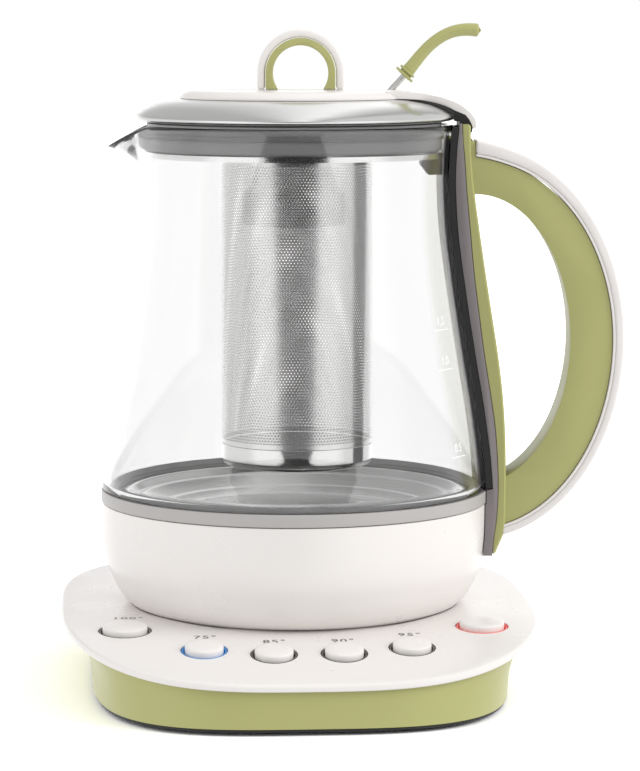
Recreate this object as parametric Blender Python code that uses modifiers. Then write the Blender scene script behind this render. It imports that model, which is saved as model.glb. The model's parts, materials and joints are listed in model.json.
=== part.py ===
"""Electric tea kettle: a glass jug with a hanging infuser basket on a heated housing,
a hinged lid with a ring knob and a thumb lever, a D-shaped handle, and a power base
with six sprung buttons. Metres, +Z up, standing on Z = 0, its front towards -Y."""

import math

import bmesh
import bpy
from mathutils import Matrix, Vector

COLLECTION = "electric_tea_kettle"
CUTTERS = "cutters"

# Clearances, in metres
GAP = 0.0003                # between two pieces that touch
RUNNING_GAP = 0.0004        # between two pieces that move past each other
OVERRUN = 0.004             # how far a cutter passes the face that it cuts

# Facets of the round pieces
STEPS_GLASS = 40
STEPS_LARGE = 28
STEPS_MEDIUM = 16
STEPS_SMALL = 10
STEPS_TINY = 8

# Power base: plan, heights and walls
BASE_YAW = math.radians(4.0)
BASE_HALF_WIDTH = 0.0932
BASE_FRONT = 0.1145
BASE_BACK = 0.1100
BASE_CORNER_POWER = 3.1
BASE_OUTLINE_POINTS = 32
BASE_TOP_Z = 0.0310
PANEL_START = 0.0350        # how far in front of the kettle's axis the top starts to fall
PANEL_RADIUS = 0.2850
PANEL_CUTS = 5
PLATE_THICKNESS = 0.0032
PLATE_ROUND = 0.0011
SKIRT_DRAW_SIDE = 0.0120    # how far the skirt's foot is drawn in from the plate
SKIRT_DRAW_FRONT = 0.0017
SKIRT_DRAW_BACK = 0.0050
SKIRT_FOOT_HALF_WIDTH = BASE_HALF_WIDTH - SKIRT_DRAW_SIDE
SKIRT_FOOT_FRONT = BASE_FRONT - SKIRT_DRAW_FRONT
SKIRT_FOOT_BACK = BASE_BACK - SKIRT_DRAW_BACK
SKIRT_FOOT_CORNER_POWER = 3.4
SKIRT_INSET = 0.0024
SKIRT_WALL = 0.0025
SKIRT_BOTTOM_Z = 0.0027
SKIRT_FLARE_SHARES = ((0.0, 0.0), (0.45, 0.12), (0.78, 0.5), (1.0, 1.0))
BOTTOM_COVER_Z = 0.0015
BOTTOM_COVER_LIP = 0.0009
BOTTOM_COVER_STEP = 0.0028
BOTTOM_COVER_INSET = 0.0008
FOOT_RADIUS = 0.0080
FOOT_EDGE = 0.0004
FOOT_PLACE_SHARES = (0.64, 0.705)
FOOT_ACROSS = SKIRT_FOOT_HALF_WIDTH * FOOT_PLACE_SHARES[0]
FOOT_ALONG = SKIRT_FOOT_BACK * FOOT_PLACE_SHARES[1]
SCREW_PLACE_SHARES = (0.88, 0.333)
SCREW_ACROSS = SKIRT_FOOT_HALF_WIDTH * SCREW_PLACE_SHARES[0]
SCREW_ALONG = SKIRT_FOOT_BACK * SCREW_PLACE_SHARES[1]
SCREW_RADIUS = 0.0014
SCREW_HEAD_RADIUS = 0.0028
SCREW_HEAD_HEIGHT = 0.0016
SCREW_LENGTH = 0.0090
BOSS_RADIUS = 0.0034
SEAT_DEPTH = 0.0010
GLAND_RADIUS = 0.0052
GLAND_BORE = 0.0032
GLAND_LENGTH = 0.0090
GLAND_Z = 0.0120
GLAND_LIP = 0.0010

# Buttons: place on the panel as shares of its half width and front, kind, and colour of the ring.
# The two at the ends keep their distance from the side instead.
BUTTON_PLACE_SHARES = (
    ("heat_100", -1.0, -0.5066, "end", "ring_grey"),
    ("heat_75", -0.4206, -0.7240, "row", "ring_blue"),
    ("heat_85", -0.1416, -0.7677, "row", "ring_grey"),
    ("heat_90", 0.1416, -0.7677, "row", "ring_grey"),
    ("heat_95", 0.4206, -0.7240, "row", "ring_grey"),
    ("power", 1.0, -0.5066, "end", "ring_red"),
)
END_BUTTON_INSET = 0.0246
BUTTON_ROWS = [(name, (BASE_HALF_WIDTH - (END_BUTTON_INSET if kind == "end" else 0.0)) * across,
                BASE_FRONT * ahead, kind, ring)
               for name, across, ahead, kind, ring in BUTTON_PLACE_SHARES]
ROW_BUTTON_RADIUS = 0.0073
END_BUTTON_RADIUS = 0.0086
BUTTON_RING_WIDTH = 0.0017
BUTTON_TRAVEL = 0.0012
BUTTON_SIDE = 0.0019        # straight side of the cap above the panel
BUTTON_DOME = 0.0008
BUTTON_CROWN_SHARES = ((0.0, 1.0), (0.87, 0.75), (1.0, 0.0))
RING_DEPTH = 0.0008         # top of the ring below the panel
RING_TAIL = 0.0030          # the ring below the plate
RING_LIP = 0.0012
PANEL_BOW = 0.0006          # room under the plate for its bend across a ring
CAP_LIP = 0.0010
PLUNGER_RADIUS = 0.0018
PLUNGER_LENGTH = 0.0012
SWITCH_SIDE = 0.0060
SWITCH_HEIGHT = 0.0026
SWITCH_BUTTON_RADIUS = 0.0015
SWITCH_BUTTON_HEIGHT = 0.0008
BOARD_THICKNESS = 0.0016
BOARD_BACK_SHARE = 0.419
BOARD_BACK = BASE_FRONT * BOARD_BACK_SHARE
BOARD_FRONT_SHARE = 0.845
BOARD_SIDE_SHARE = 0.785
BOARD_WAIST_SHARE = 0.57
BOARD_NOSE_SHARE = 0.5
POST_RADIUS = 0.0026
POST_PLACE_SHARES = ((-0.6, 1.08), (0.6, 1.08), (-0.28, 1.78), (0.28, 1.78))

# Power connector in the middle of the base, and its socket under the kettle
PLUG_RADIUS = 0.0140
PLUG_HEIGHT = 0.0110
PLUG_FLANGE = 0.0030
PLUG_GROOVE_OUTER = 0.0085
PLUG_PIN_RADIUS = 0.0030
PLUG_GROOVE_DEPTH = 0.0085
PLUG_BODY_DEPTH = 0.0160
SOCKET_WALL = 0.0035
SOCKET_ROOF = 0.0030
SOCKET_SLEEVE_INNER = 0.0042
SOCKET_SLEEVE_OUTER = 0.0070

# Heated housing
BODY_RADIUS = 0.0766
SEAT_SHARE = 0.894
SEAT_RADIUS = BODY_RADIUS * SEAT_SHARE
HOUSING_TOP_Z = 0.0716
HOUSING_WALL = 0.0025
HOUSING_LIP = 0.0030
HOUSING_SHARES = (
    (0.0, 0.822), (0.05, 0.87), (0.15, 0.914), (0.32, 0.96), (0.56, 0.991), (1.0, 1.0),
)
FLOOR_THICKNESS = 0.0025
BAND_HEIGHT = 0.0050
BAND_PROUD = 0.0004
BAND_WIDTH = 0.0061
BAND_INNER = BODY_RADIUS - BAND_WIDTH
BAND_LEDGE = 0.0012
BAND_LEDGE_WIDTH = 0.0030
PLATE_RIM_HEIGHT = 0.0026
HEATER_SHEET = 0.0010
HEATER_STEP = 0.0095        # depth of the dish in the plate
HEATER_RING_SHARES = (
    (0.945, 0.0), (0.905, 0.31), (0.875, 0.31), (0.775, 0.74), (0.7, 0.98), (0.66, 1.0),
)
DIFFUSER_SHARE = 0.59
DIFFUSER_RADIUS = BODY_RADIUS * DIFFUSER_SHARE
DIFFUSER_THICKNESS = 0.0020
ELEMENT_SHARE = 0.47
ELEMENT_RADIUS = BODY_RADIUS * ELEMENT_SHARE
ELEMENT_TUBE = 0.0033
ELEMENT_SWEEP = math.radians(300.0)
ELEMENT_POINTS = 22
ELEMENT_TAIL = 0.0120
SENSOR_ANGLE = math.radians(25.0)
SENSOR_PLACE_SHARE = 0.44
SENSOR_RADIUS = 0.0064
SENSOR_HEIGHT = 0.0018
SEAL_WIDTH = 0.0030
SEAL_HEIGHT = 0.0020

# Glass jug with a drawn spout
GLASS_FOOT_RADIUS = BODY_RADIUS + GAP
NECK_SHARE = 0.8094
NECK_RADIUS = BODY_RADIUS * NECK_SHARE
RIM_Z = 0.2210
NECK_DROP = 0.0230
NECK_Z = RIM_Z - NECK_DROP
RIM_FLARE = 0.0014
GLASS_WALL = 0.0031
GLASS_LIP = 0.0012
GLASS_SHARES = (
    (0.0, 1.0), (0.1, 0.94), (0.25, 0.785), (0.5, 0.45), (0.7, 0.21), (0.86, 0.055), (1.0, 0.0),
)
SPOUT_HEIGHT = 0.0210
SPOUT_ROOT_Z = RIM_Z - SPOUT_HEIGHT
SPOUT_REACH = 0.0112
SPOUT_DROOP = 0.0086
SPOUT_HALF_ANGLE = math.radians(27.0)
SPOUT_REACH_POWER = 2.2
SPOUT_DROOP_POWER = 1.5
SPOUT_NARROW_SHARE = 0.35

# Infuser basket
BASKET_X = 0.0010
BASKET_RADIUS = 0.0300
BASKET_SHEET = 0.0006
BASKET_CLEARANCE = 0.0146   # from the housing's top to the cup
BASKET_BOTTOM_Z = HOUSING_TOP_Z + BASKET_CLEARANCE
CUP_HEIGHT = 0.0085
CUP_ROUND = 0.0020
COLLAR_DROP = 0.0126
COLLAR_BOTTOM_Z = RIM_Z - COLLAR_DROP
COLLAR_HEIGHT = 0.0024
COLLAR_SHEET = 0.0010
LUG_HALF_WIDTH = 0.0065
LUG_LENGTH = 0.0084
LUG_HEIGHT = 0.0068
LUG_SHARES = ((0.0, 0.0), (0.0, -0.45), (0.35, -1.0), (1.0, -1.0), (1.0, 0.0))

# Handle
SPINE_HALF_WIDTH = 0.0150
LID_SEAT = 0.0006           # the spine and the seal end this much above the glass
SPINE_OVERLAP = 0.0221      # how far the spine reaches down over the housing
SPINE_TOP_Z = RIM_Z + LID_SEAT
SPINE_BOTTOM_Z = HOUSING_TOP_Z - SPINE_OVERLAP
SPINE_HALF_LENGTH = (SPINE_TOP_Z - SPINE_BOTTOM_Z) / 2.0
SPINE_DEPTH = 0.0041
SPINE_SHARES = (
    (0.0, 0.75), (0.06, 0.85), (0.15, 0.95), (0.35, 1.0), (0.6, 1.02),
    (0.75, 1.3), (0.85, 1.38), (0.95, 1.1), (1.0, 0.72),
)
SPINE_LINE_POINTS = 11
SPINE_EDGE = 0.0010
STRIP_DEPTH = 0.0057
STRIP_SHARES = (
    (0.0, 0.22), (0.06, 0.42), (0.2, 0.5), (0.3, 0.72), (0.36, 0.82), (0.45, 1.0),
    (0.6, 0.98), (0.73, 0.72), (0.85, 0.63), (1.0, 0.66),
)
STRIP_HALF_WIDTH = 0.0138
HANDLE_SET_IN = 0.0056      # the middle of the handle's curve inside the body's radius
HANDLE_CENTRE_X = BODY_RADIUS - HANDLE_SET_IN
HANDLE_HEIGHT_SHARES = {"centre": 1.0169, "rise": 0.8855, "drop": 0.9239,
                        "finger_rise": 0.6624, "finger_drop": 0.674}
HANDLE_CENTRE_Z = SPINE_BOTTOM_Z + SPINE_HALF_LENGTH * HANDLE_HEIGHT_SHARES["centre"]
HANDLE_REACH = 0.0588
HANDLE_RISE = SPINE_HALF_LENGTH * HANDLE_HEIGHT_SHARES["rise"]
HANDLE_DROP = SPINE_HALF_LENGTH * HANDLE_HEIGHT_SHARES["drop"]
GRIP_DEPTH = 0.0211
FINGER_REACH = HANDLE_REACH - GRIP_DEPTH
FINGER_RISE = SPINE_HALF_LENGTH * HANDLE_HEIGHT_SHARES["finger_rise"]
FINGER_DROP = SPINE_HALF_LENGTH * HANDLE_HEIGHT_SHARES["finger_drop"]
HANDLE_HALF_WIDTH = 0.0125
HANDLE_ROUND = 0.0030
HANDLE_ARC_POINTS = 14
COVER_THICKNESS = 0.0047
COVER_ROUND = 0.0012
COVER_TOP_OUT = 0.00205      # the cover's ends, from the middle of the handle's curve
COVER_BOTTOM_OUT = 0.0117
COVER_TOP_ANGLE = math.acos(COVER_TOP_OUT / HANDLE_REACH)
COVER_BOTTOM_ANGLE = -math.acos(COVER_BOTTOM_OUT / HANDLE_REACH)

# Lid hinge
HINGE_OUT = 0.0053          # the pin outside the neck and under the rim
HINGE_DROP = 0.0017
HINGE_X = NECK_RADIUS + HINGE_OUT
HINGE_Z = RIM_Z - HINGE_DROP
PIN_RADIUS = 0.0011
PIN_CLEARANCE = 0.0001
BARREL_RADIUS = 0.0026
KNUCKLE_HALF_WIDTH = 0.0104
TONGUE_SWEEP = 0.0064       # clearance radius of the tongue's tip about the hinge

# Lid
DOME_RADIUS = NECK_RADIUS + RIM_FLARE
DOME_SHEET = 0.0009
DOME_HEIGHT = 0.0094
DOME_TOP_Z = RIM_Z + LID_SEAT + DOME_HEIGHT
DOME_RIM_SHARE = 0.67
DOME_RIM_DROP = DOME_HEIGHT * DOME_RIM_SHARE    # from the dome's top to its widest line
DOME_SHARES = ((0.0, 0.0), (0.71, 0.0), (0.836, 0.175), (0.921, 0.54), (1.0, 1.0))
DOME_LIP_SHARES = ((0.992, 1.23), (0.902, 1.44))
CORE_SET_IN = 0.0068
CORE_RADIUS = NECK_RADIUS - CORE_SET_IN
CORE_DISH_SHARE = 0.86
CORE_DISH_DEPTH = 0.0026
GASKET_SET_IN = 0.0040
GASKET_RIB = 0.0012
GASKET_HEIGHT = 0.0105
GASKET_BODY_RADIUS = NECK_RADIUS - GASKET_SET_IN
GASKET_RIB_RADIUS = GASKET_BODY_RADIUS + GASKET_RIB
GASKET_TOP_Z = RIM_Z + LID_SEAT
GASKET_BOTTOM_Z = GASKET_TOP_Z - GASKET_HEIGHT
CORE_BOTTOM_Z = GASKET_BOTTOM_Z + GAP
GASKET_RIB_SHARES = (0.82, 0.63, 0.46)
GASKET_RIB_HALF_SHARE = 0.045
LID_PLATE_RADIUS = DOME_RADIUS * DOME_SHARES[1][0]
LID_PLATE_CHAMFER = 0.0027
LID_PLATE_THICKNESS = 0.0031
TONGUE_SHARES = (           # top and underside, from the plate to the hinge
    ((0.0, 0.0), (0.0, -0.2055)), ((0.27, -0.015), (0.25, -0.2055)),
    ((0.45, -0.065), (0.42, -0.25)), ((0.6, -0.15), (0.57, -0.32)),
    ((0.72, -0.245), (0.68, -0.4)), ((0.84, -0.385), (0.77, -0.49)),
    ((0.91, -0.52), (0.85, -0.615)), ((0.958, -0.67), (0.89, -0.735)),
    ((0.985, -0.83), (0.915, -0.86)), ((1.0, -0.95), (0.93, -0.985)),
)
TONGUE_START_SHARE = 0.8
TONGUE_OVER = 0.0057        # how far the tongue reaches past the pin
TONGUE_START_X = LID_PLATE_RADIUS * TONGUE_START_SHARE
TONGUE_END_X = HINGE_X + TONGUE_OVER
TONGUE_FALL = DOME_TOP_Z + GAP + LID_PLATE_THICKNESS - HINGE_Z
TONGUE_ROOT_HALF_WIDTH = 0.0230
TONGUE_NARROW_SHARES = ((0.0, 1.0), (0.3, 0.82), (0.6, 0.56), (0.8, 0.455), (1.0, 0.452))
KNUCKLE_SHARES = ((-0.55, 0.78), (0.05, 0.53), (0.28, 0.3), (0.26, 0.0), (-0.24, 0.0), (-0.24, 0.31), (-0.55, 0.31))
KNUCKLE_SIZE = 0.0100

# Ring knob
KNOB_X = 0.0025
KNOB_CENTRE_HEIGHT = 0.0066
KNOB_RADIUS = 0.0170
KNOB_INSERT_RADIUS = 0.0137
KNOB_HOLE_RADIUS = 0.0109
KNOB_HALF_WIDTH = 0.0050
KNOB_INSERT_HALF_WIDTH = 0.0056
KNOB_ROUND = 0.0012
KNOB_ARC_POINTS = 14

# Thumb lever on the lid
LEVER_PLACE_SHARE = 0.8467
LEVER_X = LID_PLATE_RADIUS * LEVER_PLACE_SHARE
LEVER_ROD_RADIUS = 0.0012
LEVER_ROD_SHARES = ((-0.05, -0.072), (0.27, 0.39))
LEVER_GRIP_SHARES = (
    (0.15, 0.225), (0.21, 0.305), (0.285, 0.44), (0.37, 0.58), (0.47, 0.72),
    (0.6, 0.85), (0.75, 0.935), (0.9, 0.965), (1.02, 0.955),
)
LEVER_THICKNESS_SHARES = (1.0, 1.0, 0.95, 0.9, 0.88, 0.88, 0.9, 0.95, 1.0)
LEVER_REACH = 0.0330
LEVER_RISE = 0.0245
LEVER_GRIP_RADIUS = 0.0026
LEVER_COLLAR_RADIUS = 0.0042
LEVER_COLLAR_SMALL_SHARE = 0.84
LEVER_COLLAR_THICKNESS = 0.0009
LEVER_COLLAR_SPACING = 0.0017


# Small helpers for tables and outlines

def along(table, share):
    """Smooth value at a share along a table of (share, value) rows."""
    rows = list(table)
    if share <= rows[0][0]:
        return rows[0][1]
    if share >= rows[-1][0]:
        return rows[-1][1]
    for i in range(len(rows) - 1):
        if share <= rows[i + 1][0]:
            break
    left, right = rows[i], rows[i + 1]
    width = right[0] - left[0]
    rise = (right[1] - left[1]) / width
    before = rise if i == 0 else (right[1] - rows[i - 1][1]) / (right[0] - rows[i - 1][0])
    after = rise if i + 2 == len(rows) else (rows[i + 2][1] - left[1]) / (rows[i + 2][0] - left[0])
    t = (share - left[0]) / width
    hold = (1.0 + 2.0 * t) * (1.0 - t) ** 2 * left[1] + t * t * (3.0 - 2.0 * t) * right[1]
    lean = width * (t * (1.0 - t) ** 2 * before - t * t * (1.0 - t) * after)
    return hold + lean


def spread(low, high, count):
    """Evenly spaced values from low to high, both included."""
    return [low + (high - low) * i / (count - 1) for i in range(count)]


def signed_power(value, power):
    return math.copysign(abs(value) ** power, value)


def superellipse(half_width, front, back, power, count=BASE_OUTLINE_POINTS):
    """Closed plan outline, anticlockwise, longer towards the front than the back."""
    points = []
    for i in range(count):
        angle = math.tau * (i + 0.5) / count
        x = half_width * signed_power(math.cos(angle), 2.0 / power)
        reach = back if math.sin(angle) > 0.0 else front
        points.append((x, reach * signed_power(math.sin(angle), 2.0 / power)))
    return points


def half_ellipse(reach, rise, drop, start, end, count):
    """Points of the handle's curve about its centre, from one angle to another."""
    points = []
    for angle in spread(start, end, count):
        height = rise if math.sin(angle) > 0.0 else drop
        points.append((HANDLE_CENTRE_X + reach * math.cos(angle),
                       HANDLE_CENTRE_Z + height * math.sin(angle)))
    return points


# Outer radius of the kettle's body at any height

KETTLE_BOTTOM_Z = BASE_TOP_Z - SEAT_DEPTH + GAP
BAND_BOTTOM_Z = HOUSING_TOP_Z + GAP
BAND_TOP_Z = BAND_BOTTOM_Z + BAND_HEIGHT
BAND_RADIUS = BODY_RADIUS + BAND_PROUD
GLASS_FOOT_Z = BAND_TOP_Z + GAP


def glass_radius(z):
    """Outside of the glass wall."""
    if z <= NECK_Z:
        share = (z - GLASS_FOOT_Z) / (NECK_Z - GLASS_FOOT_Z)
        return NECK_RADIUS + (GLASS_FOOT_RADIUS - NECK_RADIUS) * along(GLASS_SHARES, share)
    share = (z - NECK_Z) / (RIM_Z - NECK_Z)
    return NECK_RADIUS + RIM_FLARE * share * share


def housing_radius(z):
    share = (z - KETTLE_BOTTOM_Z) / (HOUSING_TOP_Z - KETTLE_BOTTOM_Z)
    return BODY_RADIUS * along(HOUSING_SHARES, share)


def body_radius(z):
    """Outside of the whole body: housing, trim band or glass."""
    if z < BAND_BOTTOM_Z:
        return housing_radius(z)
    if z <= BAND_TOP_Z:
        return BAND_RADIUS
    return glass_radius(z)


def spine_line(z):
    """Back of the grey spine, where the green strip starts."""
    share = (z - SPINE_BOTTOM_Z) / (SPINE_TOP_Z - SPINE_BOTTOM_Z)
    smooth_body = max(body_radius(z), glass_radius(max(z, GLASS_FOOT_Z)) if z > BAND_BOTTOM_Z else 0.0)
    return smooth_body + SPINE_DEPTH * along(SPINE_SHARES, share)


def strip_line(z):
    """Back of the green strip."""
    share = (z - SPINE_BOTTOM_Z) / (SPINE_TOP_Z - SPINE_BOTTOM_Z)
    return spine_line(z) + GAP + STRIP_DEPTH * along(STRIP_SHARES, share)


# Top of the power base, in the base's own axes

def panel_fall(y):
    """How far the top has fallen at y, towards the front."""
    ahead = max(0.0, -y - PANEL_START)
    return PANEL_RADIUS - math.sqrt(PANEL_RADIUS * PANEL_RADIUS - ahead * ahead)


def panel_tilt(y):
    return math.asin(max(0.0, -y - PANEL_START) / PANEL_RADIUS)


def base_extent():
    """Least and greatest x and y of the turned base about the kettle's axis."""
    turned_points = []
    for x, y in superellipse(BASE_HALF_WIDTH, BASE_FRONT, BASE_BACK, BASE_CORNER_POWER):
        turned_points.append((x * math.cos(BASE_YAW) - y * math.sin(BASE_YAW),
                              x * math.sin(BASE_YAW) + y * math.cos(BASE_YAW)))
    xs = [p[0] for p in turned_points]
    ys = [p[1] for p in turned_points]
    return min(xs), max(xs), min(ys), max(ys)


BASE_MIN_X, BASE_MAX_X, BASE_MIN_Y, BASE_MAX_Y = base_extent()
KETTLE_X = -(BASE_MIN_X + HANDLE_CENTRE_X + HANDLE_REACH) / 2.0
KETTLE_Y = -(BASE_MIN_Y + BASE_MAX_Y) / 2.0


# Scene, collections, empties and materials

for existing in list(bpy.data.objects):
    bpy.data.objects.remove(existing, do_unlink=True)

PARTS = bpy.data.collections.new(COLLECTION)
bpy.context.scene.collection.children.link(PARTS)
TOOLS = bpy.data.collections.new(CUTTERS)
bpy.context.scene.collection.children.link(TOOLS)


def empty(name, location, parent=None, rotation=(0.0, 0.0, 0.0)):
    obj = bpy.data.objects.new(name, None)
    obj.location = location
    obj.rotation_euler = rotation
    obj.parent = parent
    PARTS.objects.link(obj)
    return obj


KETTLE = empty("kettle_axis", (KETTLE_X, KETTLE_Y, 0.0))
BASE = empty("base_axis", (KETTLE_X, KETTLE_Y, 0.0), rotation=(0.0, 0.0, BASE_YAW))
LID = empty("lid_hinge_axis", (HINGE_X, 0.0, HINGE_Z), KETTLE)
LID_ORIGIN = (-HINGE_X, 0.0, -HINGE_Z)


def material(name, colour, roughness, metallic=0.0, alpha=1.0):
    mat = bpy.data.materials.new(name)
    mat.use_nodes = True
    shader = mat.node_tree.nodes["Principled BSDF"]
    shader.inputs["Base Color"].default_value = (*colour, 1.0)
    shader.inputs["Roughness"].default_value = roughness
    shader.inputs["Metallic"].default_value = metallic
    shader.inputs["Alpha"].default_value = alpha
    mat.diffuse_color = (*colour, alpha)
    return mat


WHITE = material("white_abs", (0.82, 0.79, 0.77), 0.35)
GREEN = material("green_abs", (0.40, 0.42, 0.13), 0.4)
GREY = material("grey_abs", (0.23, 0.21, 0.20), 0.45)
BLACK = material("black_plastic", (0.012, 0.012, 0.012), 0.5)
RUBBER = material("black_rubber", (0.01, 0.01, 0.01), 0.8)
SILICONE = material("grey_silicone", (0.19, 0.19, 0.19), 0.55)
GLASS = material("borosilicate_glass", (0.9, 0.93, 0.93), 0.02, 0.0, 0.3)
STEEL = material("polished_steel", (0.62, 0.62, 0.61), 0.18, 1.0)
BRUSHED = material("brushed_steel", (0.55, 0.55, 0.54), 0.35, 1.0)
ALUMINIUM = material("cast_aluminium", (0.5, 0.5, 0.5), 0.45, 1.0)
COPPER = material("contact_copper", (0.7, 0.42, 0.25), 0.3, 1.0)
BOARD = material("circuit_board", (0.03, 0.16, 0.07), 0.5)
BLUE = material("blue_light_guide", (0.02, 0.26, 0.62), 0.3)
RED = material("red_light_guide", (0.78, 0.04, 0.03), 0.3)
RING_FINISH = {"ring_grey": GREY, "ring_blue": BLUE, "ring_red": RED}


# Modelling tools

def place(name, mesh, mat, parent, location=(0.0, 0.0, 0.0), rotation=(0.0, 0.0, 0.0)):
    """Put a mesh into the model, or among the cutters when it has no material."""
    obj = bpy.data.objects.new(name, mesh)
    obj.location = location
    obj.rotation_euler = rotation
    obj.parent = parent
    if mat is None:
        TOOLS.objects.link(obj)
        obj.hide_render = True
        obj.display_type = "WIRE"
    else:
        mesh.materials.clear()
        mesh.materials.append(mat)
        PARTS.objects.link(obj)
    return obj


def meshed(curve, merge):
    """A curve as a closed mesh, its loose caps welded on."""
    guide = bpy.data.objects.new("guide", curve)
    TOOLS.objects.link(guide)
    bpy.context.view_layer.update()
    graph = bpy.context.evaluated_depsgraph_get()
    mesh = bpy.data.meshes.new_from_object(guide.evaluated_get(graph))
    bpy.data.objects.remove(guide, do_unlink=True)
    bm = bmesh.new()
    bm.from_mesh(mesh)
    bmesh.ops.remove_doubles(bm, verts=bm.verts, dist=merge)
    bmesh.ops.recalc_face_normals(bm, faces=bm.faces)
    bm.to_mesh(mesh)
    bm.free()
    smooth(mesh)
    return mesh


def smooth(mesh, degrees=35.0):
    mesh.shade_smooth()
    mesh.set_sharp_from_angle(angle=math.radians(degrees))


def turned(name, profile, mat, parent, steps=STEPS_MEDIUM, closed=True, **where):
    """A profile of (radius, height) points, down its outer side, spun by a Screw."""
    mesh = bpy.data.meshes.new(name)
    verts = [(radius, 0.0, height) for radius, height in profile]
    edges = [(i, i + 1) for i in range(len(verts) - 1)]
    if closed:
        edges.append((len(verts) - 1, 0))
    mesh.from_pydata(verts, edges, [])
    obj = place(name, mesh, mat, parent, **where)
    screw = obj.modifiers.new("turn", "SCREW")
    screw.steps = steps
    screw.render_steps = steps
    screw.use_merge_vertices = True
    screw.merge_threshold = 0.00001
    screw.use_smooth_shade = True
    return obj


def extruded(name, outline, half_width, mat, parent, bevel=0.0, segments=2, **where):
    """An (x, z) outline as a plate that reaches half_width to each side along Y."""
    curve = bpy.data.curves.new(name, "CURVE")
    curve.dimensions = "2D"
    curve.fill_mode = "BOTH"
    curve.extrude = half_width
    spline = curve.splines.new("POLY")
    spline.use_cyclic_u = True
    spline.points.add(len(outline) - 1)
    for point, (x, z) in zip(spline.points, outline):
        point.co = (x, z, 0.0, 1.0)
    mesh = meshed(curve, GAP / 100.0)
    mesh.transform(Matrix.Rotation(math.pi / 2.0, 4, "X"))
    mesh.name = name
    obj = place(name, mesh, mat, parent, **where)
    if bevel > 0.0:
        add_bevel(obj, bevel, segments)
    return obj


def add_bevel(obj, width, segments=2, degrees=50.0):
    bevel = obj.modifiers.new("round_edges", "BEVEL")
    bevel.width = width
    bevel.segments = segments
    bevel.limit_method = "ANGLE"
    bevel.angle_limit = math.radians(degrees)
    bevel.use_clamp_overlap = True
    return bevel


def boolean(obj, tool, operation="DIFFERENCE"):
    cut = obj.modifiers.new(operation.lower(), "BOOLEAN")
    cut.operation = operation
    cut.object = tool
    cut.solver = "EXACT"
    return cut


def cylinder(name, radius, low, high, mat, parent, steps=STEPS_SMALL, **where):
    """A plain upright cylinder between two heights."""
    bm = bmesh.new()
    bmesh.ops.create_cone(bm, cap_ends=True, segments=steps, radius1=radius, radius2=radius,
                          depth=high - low, matrix=Matrix.Translation((0.0, 0.0, (high + low) / 2.0)))
    mesh = bpy.data.meshes.new(name)
    bm.to_mesh(mesh)
    bm.free()
    smooth(mesh)
    return place(name, mesh, mat, parent, **where)


def box(name, low, high, mat, parent, **where):
    """A plain block between two corners."""
    low, high = Vector(low), Vector(high)
    bm = bmesh.new()
    bmesh.ops.create_cube(bm, size=1.0)
    bmesh.ops.scale(bm, vec=high - low, verts=bm.verts)
    bmesh.ops.translate(bm, vec=(high + low) / 2.0, verts=bm.verts)
    mesh = bpy.data.meshes.new(name)
    bm.to_mesh(mesh)
    bm.free()
    return place(name, mesh, mat, parent, **where)


def settled(obj):
    """The object with its modifiers applied, as a mesh object of the same name."""
    bpy.context.view_layer.update()
    graph = bpy.context.evaluated_depsgraph_get()
    mesh = bpy.data.meshes.new_from_object(obj.evaluated_get(graph))
    name = obj.name
    obj.modifiers.clear()
    old = obj.data
    obj.data = mesh
    bpy.data.meshes.remove(old)
    mesh.name = name
    return obj


def tube(name, points, radius, mat, parent, thickness=None, resolution=2, **where):
    """A round bar along a row of points, made a closed mesh."""
    curve = bpy.data.curves.new(name, "CURVE")
    curve.dimensions = "3D"
    curve.bevel_depth = radius
    curve.bevel_resolution = resolution
    curve.use_fill_caps = True
    spline = curve.splines.new("POLY")
    spline.points.add(len(points) - 1)
    for i, point in enumerate(points):
        spline.points[i].co = (*point, 1.0)
        spline.points[i].radius = 1.0 if thickness is None else thickness[i]
    mesh = meshed(curve, radius / 200.0)
    mesh.name = name
    return place(name, mesh, mat, parent, **where)


def loft(name, loops, mat, parent, ring=False, **where):
    """Skin over closed loops of equally many points. A ring joins the last to the first."""
    bm = bmesh.new()
    rows = [[bm.verts.new(point) for point in loop] for loop in loops]
    count = len(rows[0])
    pairs = list(zip(rows, rows[1:]))
    if ring:
        pairs.append((rows[-1], rows[0]))
    else:
        bm.faces.new(rows[0])
        bm.faces.new(list(reversed(rows[-1])))
    for lower, upper in pairs:
        for i in range(count):
            j = (i + 1) % count
            bm.faces.new((lower[i], lower[j], upper[j], upper[i]))
    bmesh.ops.triangulate(bm, faces=bm.faces)
    bmesh.ops.recalc_face_normals(bm, faces=bm.faces)
    mesh = bpy.data.meshes.new(name)
    bm.to_mesh(mesh)
    bm.free()
    smooth(mesh)
    return place(name, mesh, mat, parent, **where)


# Power base

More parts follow.
